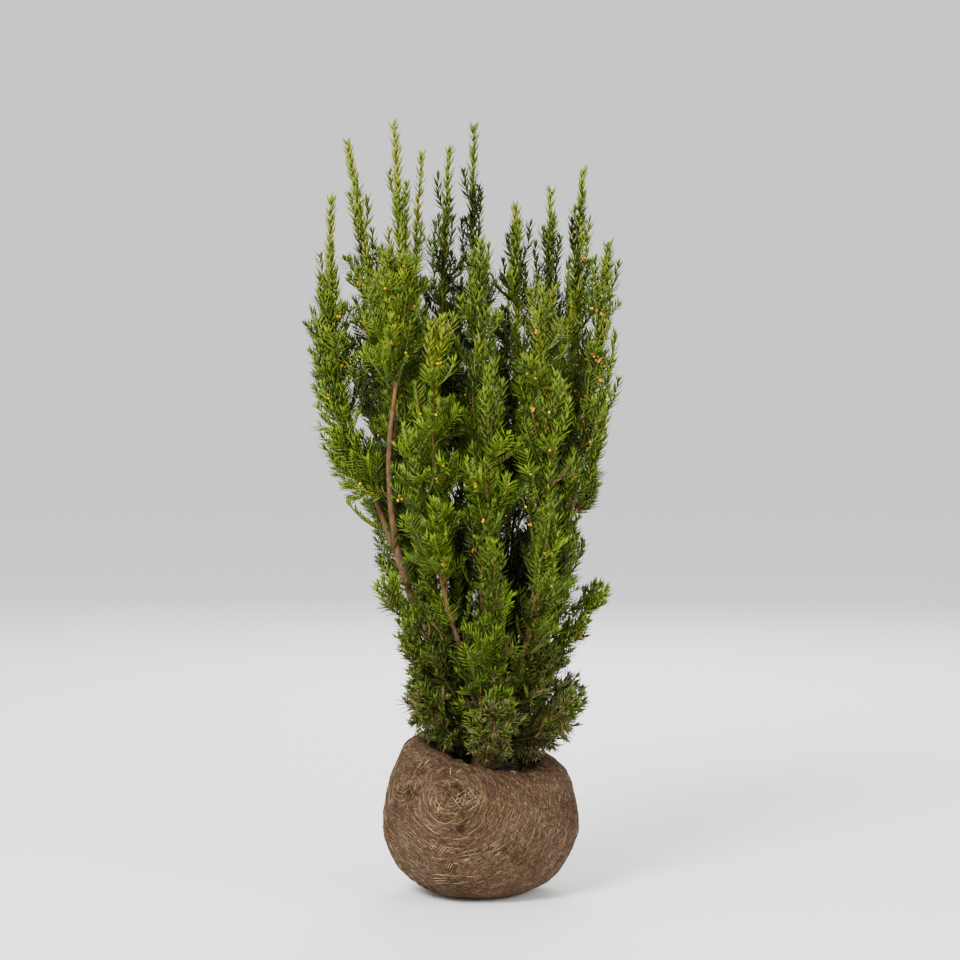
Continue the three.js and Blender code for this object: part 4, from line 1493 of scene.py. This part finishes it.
class BallShape:
    """The root ball's true surface: its outline, the warp of the solids, and the burlap's folds."""

    centre = np.array([0.0, 0.0, 135.0])
    mean_radius = 182
    step = 3.3
    wall_top = 215
    evenings = 60

    def __init__(self) -> None:
        """Joins the ball's and the lip's outlines to one, and places the knots on it."""
        self.profile = self.rounded((*BALL_OUTLINE[:9], *LIP_OUTLINE[:4:-1], *BALL_OUTLINE[13:]))
        outside = self.profile[: np.argmax(self.profile[:, 1]) + 1]
        away = outside - (0, self.centre[2])
        self.rises = np.arctan2(away[:, 1], away[:, 0])
        self.reaches = np.hypot(away[:, 0], away[:, 1])
        spots = []
        for degrees, height, _ in KNOTS:
            angle = math.radians(degrees)
            radius = mix(*KNOT_DISTANCE, smooth(height, *SHOULDER_HEIGHTS))
            spots.append((math.cos(angle) * radius, math.sin(angle) * radius, height))
        self.knots = unit(np.array(spots) - self.centre)
        self.level = unit(np.cross(np.array([0, 0, 1.0]), self.knots))
        self.steep = np.cross(self.knots, self.level)

    def rounded(self, outline: Sequence[Sequence[float]]) -> Array:
        """Draws a smooth curve through an outline's corners and evens out the wall's.

        Args:
            outline: corners as distance from the axis and height.

        Returns:
            An even run of points along the curve.
        """
        corners = np.array(outline, float)
        padded = np.concatenate([corners[:1], corners, corners[-1:]])
        made = []
        for a, b, c, d in zip(padded, padded[1:], padded[2:], padded[3:]):
            count = max(1, round(np.linalg.norm(c - b) / self.step))
            t = (np.arange(count) / count)[:, None]
            early = 2 * b + (c - a) * t + (2 * a - 5 * b + 4 * c - d) * t**2
            made.append(0.5 * (early + (3 * b - a - 3 * c + d) * t**3))
        run = np.concatenate([*made, corners[-1:]])
        wall = (run[1:-1, 0] > SOIL_FLAT) & (run[1:-1, 1] < self.wall_top)
        for _ in range(self.evenings):
            run[1:-1] = np.where(wall[:, None], (run[:-2] + 2 * run[1:-1] + run[2:]) / 4, run[1:-1])
        run[:, 0] = np.maximum(run[:, 0], 0)
        return run

    @staticmethod
    def warped(points: Array) -> Array:
        """Warps the turned ball as in the solids.

        Args:
            points: (N, 3) points of the turned ball.

        Returns:
            (N, 3) true places.
        """
        x, y, z = points.T
        radius, angle = np.hypot(x, y), np.arctan2(y, x)
        outer = smooth(radius, SOIL_FLAT, SOIL_FLAT + 40)
        lumps = 0.022 * np.sin(2 * angle + 0.6) + 0.014 * np.sin(3 * angle + z / 60)
        lumps += 0.01 * np.sin(5 * angle - z / 45)
        squash = 1 + lumps * outer
        held = mix(1, SHOULDER_TILT, smooth(radius, 130, 176))
        rise = RIM_TILT * smooth(z, RIM_TILT_FROM, RIM_TILT_FULL)
        tilt = rise * held * outer * np.cos(angle - RIM_HIGH_SIDE)
        bunch = bunched(angle) * smooth(z, 180, 245) * smooth(radius, 96, 136)
        return np.c_[x * squash, y * squash, z + tilt + bunch]

    def from_knots(self, ways: Array) -> Array:
        """Returns how far along the ball each direction lies from each knot."""
        return np.arccos(np.clip(ways @ self.knots.T, -1, 1)) * self.mean_radius

    def rings(self, ways: Array) -> Array:
        """Measures a distance that grows in rings round the knots, without a jump between them.

        Args:
            ways: (N, 3) directions from the ball's middle.

        Returns:
            (N,) distances.
        """
        uneven = np.array([noise.noise(Vector(way) * 5) for way in ways]) * 11
        away = self.from_knots(ways) * (1.0, 1.5, 1.15) + (0, 8, 0) + uneven[:, None]
        return -RING_BLEND * np.log(np.exp(-away / RING_BLEND).sum(axis=1))

    def relief(self, ways: Array) -> Array:
        """Works out how far the burlap stands out of the plain ball: knots, their folds, rings, lumps.

        Args:
            ways: (N, 3) directions from the ball's middle.

        Returns:
            (N,) millimetres.
        """
        away = self.from_knots(ways)
        height = np.zeros(len(ways))
        for k, (_, _, size) in enumerate(KNOTS):
            d = away[:, k]
            phi = np.arctan2(ways @ self.steep[k], ways @ self.level[k])
            wobble = 0.6 * np.sin(d / 23 + k)
            folds = np.cos(9 * phi + wobble) + 0.6 * np.cos(14 * phi - 2 * wobble + 1)
            height += KNOT_RISE * np.exp(-((d / size) ** 2)) * (1 - 0.6 * np.exp(-((d / 8) ** 2)))
            height += 1.2 * folds * smooth(d, 6, size) * np.exp(-np.maximum(d - size, 0) / 40)
        ring = self.rings(ways)
        waves = 0.4 * np.sin(ring * 2 * math.pi / 9.5) * np.exp(-np.maximum(ring - 30, 0) / 60)
        height += waves * smooth(ring, 9, 20)
        height -= 3.0 * self.pulled(ways)
        for row, way in enumerate(ways * self.mean_radius):
            spot = Vector(way)
            height[row] += 3.0 * noise.noise(spot / 58) + 1.6 * noise.noise(spot / 21 + Vector((9, 0, 0)))
            height[row] += 0.7 * noise.noise(spot / 8)
        return height

    def pulled(self, ways: Array) -> Array:
        """Works out how far the threads have pulled apart.

        Args:
            ways: (N, 3) directions from the ball's middle.

        Returns:
            (N,) shares, 1 where they are wide open.
        """
        share = np.zeros(len(ways))
        for beside, above, size, amount in PULLED:
            middle = self.near_knot(0, np.array(float(beside)), np.array(float(above)))
            away = np.arccos(np.clip(ways @ middle, -1, 1)) * self.mean_radius
            share = np.maximum(share, amount * np.exp(-((away / size) ** 4)))
        return share

    def on_ball(self, ways: Array, lift: Amount) -> Array:
        """Finds points of the wrap.

        Args:
            ways: (N, 3) directions from the ball's middle.
            lift: millimetres above the wrap, for all or for each.

        Returns:
            (N, 3) points.
        """
        rise = np.arcsin(np.clip(ways[:, 2], -1, 1))
        reach = np.interp(rise, self.rises, self.reaches)
        plain = self.warped(self.centre + ways * reach[:, None])
        return plain + ways * (self.relief(ways) + lift)[:, None]

    def near_knot(self, knot: int, across_it: Array, up: Array) -> Array:
        """Finds directions near a knot.

        Args:
            knot: the knot's number.
            across_it: millimetres beside it, along the ball.
            up: millimetres above it.

        Returns:
            Directions from the ball's middle, with one more axis.
        """
        angle = np.hypot(across_it, up) / self.mean_radius
        bearing = np.arctan2(up, across_it)
        level, steep = self.level[knot], self.steep[knot]
        aside = np.cos(bearing)[..., None] * level + np.sin(bearing)[..., None] * steep
        return np.cos(angle)[..., None] * self.knots[knot] + np.sin(angle)[..., None] * aside


@dataclass(frozen=True)
class Winding:
    """Threads wound round a knot: their share of all, how near and how far they lie, and rays over them."""

    knot: int
    share: float
    nearest: float
    widest: float
    rays: int


@dataclass(frozen=True)
class Ladder:
    """A patch where some threads have pulled apart: beside and above the main knot, its turn, its rungs."""

    beside: float
    above: float
    turn: float
    rungs: int
    length: float = 15
    spacing: float = 4.6


WINDINGS = (Winding(0, 0.84, 26, 330, 44), Winding(1, 0.06, 8, 46, 20), Winding(2, 0.1, 12, 80, 26))
# Long threads bowed under the main knot: distance from it, and the bearings of both ends in degrees
BOWS = (
    (15, -160, -10), (21, -150, -20), (27, -165, 10), (34, -150, 0), (52, -165, -15), (61, -160, -5),
    (72, -150, -20), (80, -140, -30), (97, -115, -60), (120, -105, -52), (158, -125, -70),
)
# Short threads bowed under the second knot: distance from it
SHORT_BOWS = (9, 16, 23, 30)
# Where the threads have pulled apart, beside and above the main knot: the hole's size, and how far it is open
PULLED = (
    (31, 0, 18, 1.0), (8, 20, 7, 0.5), (-80, 2, 11, 0.5), (-68, -124, 8, 0.5), (10, -138, 10, 0.5),
    (-44, -104, 7, 0.5), (26, -60, 8, 0.5), (112, -96, 6, 0.7), (84, -92, 5, 0.7), (60, -98, 4, 0.6),
)
LADDERS = (
    Ladder(-64, -128, 55, 7), Ladder(8, -136, 60, 8), Ladder(-74, -62, -38, 5, 34, 6),
    Ladder(-20, -96, 48, 5, 22, 5), Ladder(42, -100, 12, 4, 40, 7), Ladder(66, -38, 78, 6),
    Ladder(120, -20, 80, 7, 26, 5), Ladder(150, -70, 62, 6), Ladder(96, -88, 30, 6, 18),
    Ladder(-30, -168, 8, 3, 46, 7), Ladder(60, -160, 20, 5, 20), Ladder(31, 0, 44, 6, 36, 7),
    Ladder(31, 0, -46, 6, 36, 7),
)
# Pale splinters on the front of the ball: from and to, beside and above the main knot, and their thickness
SPLINTERS = ((-22, 86, -12, 62, 1.7), (-12, 62, -8, 42, 1.5), (9, 66, -2, 45, 1.5), (-60, 92, -78, 66, 1.0))
# The soil and the rolled edge over it: distances from the axis, and their heights
LIP_HEIGHTS = ((40, 80, 88, 104, 128, 149), (250, 254, 268, 279, 276, 261))


class JuteTone(Enum):
    """Loose jute yarn by how much earth it has taken up: its colour where soiled, and where clean."""

    CLEAN = ("#8c7656", "#c8ae86")
    WORN = ("#604b36", "#8c7150")
    SOILED = ("#382a1f", "#5c4735")


def jute(tone: JuteTone) -> bpy.types.Material:
    """Makes jute yarn: straw fibres, dulled by earth in patches.

    Args:
        tone: how soiled it is.

    Returns:
        The material.
    """
    material, tree = new_material(f"jute_yarn_{tone.name.lower()}")
    place = put(tree, "ShaderNodeTexCoord").outputs["Object"]
    inputs = {"Vector": place, "Scale": per_metre(25), "Detail": 4.0}
    patch = put(tree, "ShaderNodeTexNoise", inputs).outputs["Fac"]
    soiled, clean = tone.value
    stops = ((0.4, soiled), (0.62, clean))
    colour = put(tree, "ShaderNodeValToRGB", {"Fac": patch}, stops).outputs["Color"]
    close_material(tree, {"Base Color": colour, "Roughness": 0.9, "Specular IOR Level": 0.2})
    return material


class Threads:
    """Threads on the ball, each a run of directions from its middle, with their radii."""

    def __init__(self, shape: BallShape, stations: int) -> None:
        """Starts with none.

        Args:
            shape: the ball.
            stations: points along each thread.
        """
        self.shape = shape
        self.run = np.linspace(-0.5, 0.5, stations)
        self.ways: list[Array] = []
        self.radii: list[Array] = []

    def lay(self, knot: int, beside: Array, above: Array, radii: Amount) -> None:
        """Lays threads at places beside and above a knot.

        Args:
            knot: the knot's number.
            beside: (N, stations) millimetres.
            above: (N, stations) millimetres.
            radii: one for all, or (N,).
        """
        self.ways.append(self.shape.near_knot(knot, beside, above))
        self.radii.append(np.broadcast_to(radii, (len(beside),)))

    def lay_round(self, knot: int, bearing: Array, away: Array, radii: Amount) -> None:
        """Lays threads by their bearing and their distance from a knot, otherwise as lay does."""
        self.lay(knot, np.cos(bearing) * away, np.sin(bearing) * away, radii)

    def count(self) -> int:
        """Returns how many threads there are."""
        return sum(len(part) for part in self.radii)


@dataclass
class RootBall:
    """The wrapped ball: burlap skin with the soil in it, loose threads, straws and fallen needles."""

    shape: BallShape
    steps: int = 290
    strands: int = 3200
    stations: int = 6
    thread_length: Span = (5, 17)
    thread_radius: Span = (0.2, 0.46)
    long_share: float = 0.1
    long_by: float = 2.8
    wander: float = 0.2
    ray_from: Span = (5, 34)
    ray_length: Span = (8, 26)
    ray_radius: Span = (0.4, 0.75)
    bowed_radius: float = 0.5
    # Between which rises from the ball's middle threads lie, in radians
    lowest: float = -0.62
    highest: float = 0.9
    soil_radius: float = 85
    soil_above: float = 200
    straw_count: int = 120
    straw_length: Span = (9, 24)
    straw_radius: Span = (0.5, 1.0)
    straw_taper: tuple = (0.4, 1, 0.9, 0.3)

    def build(self) -> None:
        """Makes every piece of the ball."""
        self.wrap()
        self.threads()
        self.straws()

    def wrap(self) -> None:
        """Makes the burlap skin, which runs on over the rolled edge, and the soil inside it."""
        bm = bmesh.new()
        verts = [bm.verts.new((r, 0, z)) for r, z in self.shape.profile]
        edges = [bm.edges.new(pair) for pair in zip(verts, verts[1:])]
        bmesh.ops.spin(
            bm, geom=verts + edges, cent=(0, 0, 0), axis=(0, 0, 1), dvec=(0, 0, 0),
            angle=2 * math.pi, steps=self.steps, use_merge=True,
        )
        bmesh.ops.remove_doubles(bm, verts=bm.verts, dist=0.01)
        points = np.array([vert.co[:] for vert in bm.verts])
        flat = self.shape.warped(points)
        for vert, spot in zip(bm.verts, flat):
            vert.co = spot
        bmesh.ops.recalc_face_normals(bm, faces=bm.faces)
        bm.normal_update()
        normals = np.array([vert.normal[:] for vert in bm.verts])
        ways = unit(points - self.shape.centre)
        radius = np.hypot(points[:, 0], points[:, 1])
        in_soil = (radius < self.soil_radius) & (points[:, 2] > self.soil_above)
        height = (self.shape.relief(ways) + self.gathers(points)) * smooth(points[:, 2], 1, 26)
        height = np.where(in_soil, self.crumbs(flat), height)
        places = flat + normals * height[:, None]
        places[:, 2] = np.maximum(places[:, 2], 0)
        ring_layer = bm.verts.layers.float.new("ring")
        pulled_layer = bm.verts.layers.float.new("pulled")
        rings, pulled = self.shape.rings(ways), self.shape.pulled(ways)
        for row, vert in enumerate(bm.verts):
            vert.co = places[row]
            vert[ring_layer] = rings[row] * MM
            vert[pulled_layer] = pulled[row]
        for face in bm.faces:
            face.material_index = int(all(in_soil[vert.index] for vert in face.verts))
        piece = bmesh_object("burlap_wrap", bm)
        settle(piece, [self.burlap(), self.soil()], ["root_ball", "burlap_lip"])

    @staticmethod
    def gathers(points: Array) -> Array:
        """Works out the puckers of the turned-over edge.

        Args:
            points: (N, 3) points of the turned ball.

        Returns:
            (N,) millimetres by which they stand out.
        """
        angle = np.arctan2(points[:, 1], points[:, 0])
        wide = 1.5 * np.sin(27 * angle + 2.5 * np.sin(4 * angle))
        return (wide + 1.2 * np.sin(15 * angle + points[:, 2] / 9)) * smooth(points[:, 2], 236, 266)

    @staticmethod
    def crumbs(points: Array) -> Array:
        """Returns the height of the soil's lumps at each point."""
        rows = [Vector(point) for point in points]
        return np.array([3.5 * noise.noise(p / 16) + 2.2 * abs(noise.noise(p / 5)) for p in rows])

    def threads(self) -> None:
        """Lays the threads that stand proud of the weave: rings, rays, bows, ladders and splinters."""
        dice = np.random.default_rng(SEED + 2)
        threads = Threads(self.shape, self.stations)
        for winding in WINDINGS:
            self.wind(threads, winding, dice)
        wound = threads.count()
        self.bow(threads)
        plain = threads.count()
        run = threads.run
        for start_beside, start_above, end_beside, end_above, thick in SPLINTERS:
            share = run[None] + 0.5
            beside = mix(start_beside, end_beside, share)
            threads.lay(0, beside, mix(start_above, end_above, share), thick)
        ways = np.concatenate(threads.ways)
        sizes = np.concatenate(threads.radii)
        tone = dice.choice(3, len(ways), p=(0.12, 0.34, 0.54))
        tone[wound:] = dice.choice(3, len(ways) - wound, p=(0.62, 0.28, 0.1))
        tone[plain:] = 0
        rise = np.arcsin(ways[:, :, 2])
        kept = (rise.min(axis=1) > self.lowest) & (rise.max(axis=1) < self.highest)
        ways, sizes, tone = ways[kept], sizes[kept], tone[kept]
        lift = dice.uniform(-0.1, 0.5, len(ways)).repeat(self.stations)
        paths = self.shape.on_ball(ways.reshape(-1, 3), lift).reshape(ways.shape)
        radii = sizes[:, None] * (1 - (2 * np.abs(run)) ** 4 * 0.7)
        points, loops, faces = tube_arrays(paths, radii, ways[:, 0], 3)
        tones = np.repeat(tone, len(faces) // len(ways))
        piece = mesh_object("burlap_loose_threads", points, loops, faces, tones)
        settle(piece, [jute(tone) for tone in JuteTone])

    def wind(self, threads: Threads, winding: Winding, dice: np.random.Generator) -> None:
        """Winds short threads round one knot and crosses them with rays.

        Args:
            threads: where they are laid.
            winding: how they lie.
            dice: the seeded generator.
        """
        run = threads.run
        count = int(self.strands * winding.share)
        away = winding.nearest + (winding.widest - winding.nearest) * dice.random(count) ** 1.1
        length = dice.uniform(*self.thread_length, count)
        length *= np.where(dice.random(count) < self.long_share, self.long_by, 1)
        sweep = np.minimum(length / np.maximum(away, 6), 2.2)
        bearing = dice.uniform(-math.pi, math.pi, count)[:, None] + sweep[:, None] * run
        away = away[:, None] + length[:, None] * dice.normal(0, self.wander, count)[:, None] * run
        threads.lay_round(winding.knot, bearing, away, dice.uniform(*self.thread_radius, count))
        turn = dice.uniform(-math.pi, math.pi, winding.rays)[:, None] + 0.1 * np.sin(run * 5)
        near = dice.uniform(*self.ray_from, winding.rays)[:, None]
        away = near + dice.uniform(*self.ray_length, winding.rays)[:, None] * (run + 0.5)
        threads.lay_round(winding.knot, turn, away, dice.uniform(*self.ray_radius, winding.rays))

    def bow(self, threads: Threads) -> None:
        """Lays the long bowed threads, the short ones, and the ladders.

        Args:
            threads: where they are laid.
        """
        run = threads.run
        for away, low, high in BOWS:
            pieces = max(2, round(away / 16))
            middle = np.radians(np.linspace(low, high, pieces + 1))[:, None]
            bearing = middle + np.radians(high - low) / pieces * run
            threads.lay_round(0, bearing, away * (1 + 0.02 * np.sin(bearing * 9)), self.bowed_radius)
        for away in SHORT_BOWS:
            bearing = np.radians(-90 + 62 * 2 * run)[None]
            threads.lay_round(1, bearing, away, self.bowed_radius)
        for ladder in LADDERS:
            turn = math.radians(ladder.turn)
            step = (np.arange(ladder.rungs) - ladder.rungs / 2)[:, None] * ladder.spacing
            along = run * ladder.length
            beside = ladder.beside + along * math.cos(turn) - step * math.sin(turn)
            above = ladder.above + along * math.sin(turn) + step * math.cos(turn)
            threads.lay(0, beside, above, self.bowed_radius)

    def straws(self) -> None:
        """Lays pale splinters and fallen needles on the soil and over the bunched edge."""
        dice = np.random.default_rng(SEED + 3)
        count = self.straw_count
        angle = dice.uniform(-math.pi, math.pi, count)
        radius = dice.uniform(40, 140, count)
        heights = np.interp(radius, *LIP_HEIGHTS)
        spots = self.shape.warped(np.c_[np.cos(angle) * radius, np.sin(angle) * radius, heights])
        ways = unit(dice.normal(0, 1, (count, 3)) * (1, 1, 0.25))
        length = dice.uniform(*self.straw_length, count)
        run = np.linspace(-0.5, 0.5, 4)
        paths = spots[:, None] + ways[:, None] * length[:, None, None] * run[None, :, None]
        paths[:, :, 2] += 2.2
        sizes = np.tile(dice.uniform(*self.straw_radius, count)[:, None], (1, 4)) * self.straw_taper
        points, loops, faces = tube_arrays(paths, sizes, np.tile([[0.01, 0.02, 1.0]], (count, 1)), 4)
        tones = np.repeat(dice.choice(4, count, p=(0.2, 0.2, 0.2, 0.4)), len(faces) // count)
        piece = mesh_object("straws_and_fallen_needles", points, loops, faces, tones)
        finishes = [jute(tone) for tone in JuteTone] + needle_materials(Tint.FRESH_B.value)[:1]
        settle(piece, finishes)

    @staticmethod
    def burlap() -> bpy.types.Material:
        """Makes soiled burlap: jute threads drawn in rings about the knots, matted with earth.

        Returns:
            The material.
        """
        material, tree = new_material("soiled_burlap")
        place = put(tree, "ShaderNodeTexCoord").outputs["Object"]
        ring = put(tree, "ShaderNodeAttribute", attribute_name="ring").outputs["Fac"]
        pulled = put(tree, "ShaderNodeAttribute", attribute_name="pulled").outputs["Fac"]

        def streaks(source: Socket, spacing: float, run: float) -> Socket:
            """Returns threads about a spacing apart that run on for about a length, both in millimetres."""
            along = put(tree, "ShaderNodeVectorMath", {0: place, "Scale": per_metre(run)}, operation="SCALE")
            over = put(tree, "ShaderNodeMath", {0: source, 1: per_metre(spacing)}, operation="MULTIPLY")
            inputs = {"Vector": along.outputs[0], "W": over.outputs[0], "Scale": 1.0}
            inputs.update({"Detail": 2.5, "Roughness": 0.7})
            return put(tree, "ShaderNodeTexNoise", inputs, noise_dimensions="4D").outputs["Fac"]

        parts = put(tree, "ShaderNodeSeparateXYZ", {"Vector": place}).outputs
        inputs = {0: parts["X"], 1: 0.8, 2: parts["Z"]}
        slant = put(tree, "ShaderNodeMath", inputs, operation="MULTIPLY_ADD").outputs[0]
        inputs = {"Vector": place, "Scale": per_metre(2.5), "Detail": 4.0, "Roughness": 0.75}
        fibre = put(tree, "ShaderNodeTexNoise", inputs).outputs["Fac"]
        height = streaks(ring, 2, 12)
        for layer, weight in ((streaks(slant, 2.1, 11), 0.7), (fibre, 0.9), (pulled, -0.3)):
            inputs = {0: layer, 1: weight, 2: height}
            height = put(tree, "ShaderNodeMath", inputs, operation="MULTIPLY_ADD").outputs[0]
        inputs = {"Value": height, "From Min": 1.02, "From Max": 1.58}
        level = put(tree, "ShaderNodeMapRange", inputs).outputs["Result"]
        stops = (
            (0.0, "#1d1611"), (0.26, "#3b2d22"), (0.55, "#564533"), (0.82, "#755f4b"), (1.0, "#9a8368"),
        )
        colour = put(tree, "ShaderNodeValToRGB", {"Fac": level}, stops).outputs["Color"]
        inputs = {"Vector": place, "Scale": per_metre(76.9), "Detail": 5.0, "Roughness": 0.62}
        stain = put(tree, "ShaderNodeTexNoise", inputs).outputs["Fac"]
        stops = ((0.33, "#b0a090"), (0.5, "#e8dccc"), (0.66, "#ffffff"))
        dirt = put(tree, "ShaderNodeValToRGB", {"Fac": stain}, stops).outputs["Color"]
        inputs = {"Factor": 0.8, 6: colour, 7: dirt}
        soiled = put(tree, "ShaderNodeMix", inputs, data_type="RGBA", blend_type="MULTIPLY").outputs[2]
        inputs = {"Height": level, "Strength": 0.9, "Distance": 1.8 * MM}
        relief = put(tree, "ShaderNodeBump", inputs).outputs["Normal"]
        inputs = {"Base Color": soiled, "Roughness": 0.95, "Normal": relief, "Specular IOR Level": 0.1}
        close_material(tree, inputs)
        return material

    @staticmethod
    def soil() -> bpy.types.Material:
        """Makes moist garden soil: dark crumbs with paler specks.

        Returns:
            The material.
        """
        material, tree = new_material("moist_soil")
        place = put(tree, "ShaderNodeTexCoord").outputs["Object"]
        inputs = {"Vector": place, "Scale": per_metre(4.17), "Detail": 8.0}
        grain = put(tree, "ShaderNodeTexNoise", inputs).outputs["Fac"]
        stops = ((0.35, "#1c130c"), (0.6, "#3a2a1c"), (0.75, "#6b513a"))
        colour = put(tree, "ShaderNodeValToRGB", {"Fac": grain}, stops).outputs["Color"]
        inputs = {"Height": grain, "Strength": 0.8, "Distance": 3 * MM}
        relief = put(tree, "ShaderNodeBump", inputs).outputs["Normal"]
        close_material(tree, {"Base Color": colour, "Roughness": 0.95, "Normal": relief})
        return material


@dataclass(frozen=True)
class Light:
    """A square soft light: where it stands, its side in metres, and its power in watts."""

    name: str
    spot: tuple[float, float, float]
    size: float
    power: float


@dataclass
class Studio:
    """A pale floor, soft light, and the camera at the photograph's angle. Places are in metres."""

    eye: tuple[float, float, float] = (0.0, -5.0, 1.02)
    aim: tuple[float, float, float] = (0.0, 0.0, 0.812)
    width_at_aim: float = 1.88
    sensor: float = 36.0
    floor_size: float = 30000
    lit: tuple[float, float, float] = (0, 0, 0.8)
    surround: float = 1.05
    lights: tuple[Light, ...] = (
        Light("key", (-2.4, -4.2, 4.4), 2.0, 620.0),
        Light("fill", (3.8, -3.4, 2.2), 3.0, 140.0),
        Light("back", (0.5, 4.2, 3.6), 3.0, 240.0),
    )

    def build(self) -> None:
        """Sets up the studio."""
        self.place_camera()
        self.lay_floor()
        self.place_lights()

    @staticmethod
    def aimed(name: str, data: bpy.types.ID, spot: Sequence[float], aim: Sequence[float]) -> bpy.types.Object:
        """Places a camera or a light.

        Args:
            name: its name.
            data: its own data.
            spot: where it stands.
            aim: what it looks at.

        Returns:
            The object, linked to the scene.
        """
        made = scene_object(name, data)
        made.location = spot
        made.rotation_euler = (Vector(aim) - Vector(spot)).to_track_quat("-Z", "Y").to_euler()
        return made

    def place_camera(self) -> None:
        """Places the camera so that the plant fills the frame as in the photograph."""
        data = bpy.data.cameras.new("camera")
        data.sensor_width = self.sensor
        data.lens = self.sensor * (Vector(self.aim) - Vector(self.eye)).length / self.width_at_aim
        bpy.context.scene.camera = self.aimed("camera", data, self.eye, self.aim)

    def lay_floor(self) -> None:
        """Lays a large pale floor under the ball."""
        bm = bmesh.new()
        bmesh.ops.create_grid(bm, x_segments=1, y_segments=1, size=self.floor_size)
        floor = bmesh_object("floor", bm, False)
        material, tree = new_material("matt_white_floor")
        close_material(tree, {"Base Color": linear("#fefefe"), "Roughness": 0.9})
        floor.data.materials.append(material)

    def place_lights(self) -> None:
        """Adds a key light from the upper left, a fill from the right, one behind, and white all round."""
        for light in self.lights:
            data = bpy.data.lights.new(light.name, "AREA")
            data.size = light.size
            data.energy = light.power
            self.aimed(light.name, data, light.spot, self.lit)
        world = bpy.data.worlds.new("white_surround")
        world.use_nodes = True
        background = world.node_tree.nodes["Background"]
        background.inputs["Color"].default_value = (1.0, 1.0, 1.0, 1.0)
        background.inputs["Strength"].default_value = self.surround
        bpy.context.scene.world = world


def main() -> None:
    """Builds the studio, then the plant piece by piece."""
    logging.basicConfig(level=logging.INFO, format="%(message)s")
    Studio().build()
    limbs = Limbs()
    crown = Crown(limbs)
    shoots = Growth(crown).grow()
    log.info("shoots: %d, %.0f m", len(shoots.side), shoots.lines.length().sum() / 1000)
    Stems().build(limbs)
    Twigs().build(crown, shoots)
    Needles(crown.masses).build(crown, shoots)
    Cones().build(shoots)
    RootBall(BallShape()).build()


if __name__ == "__main__":
    main()
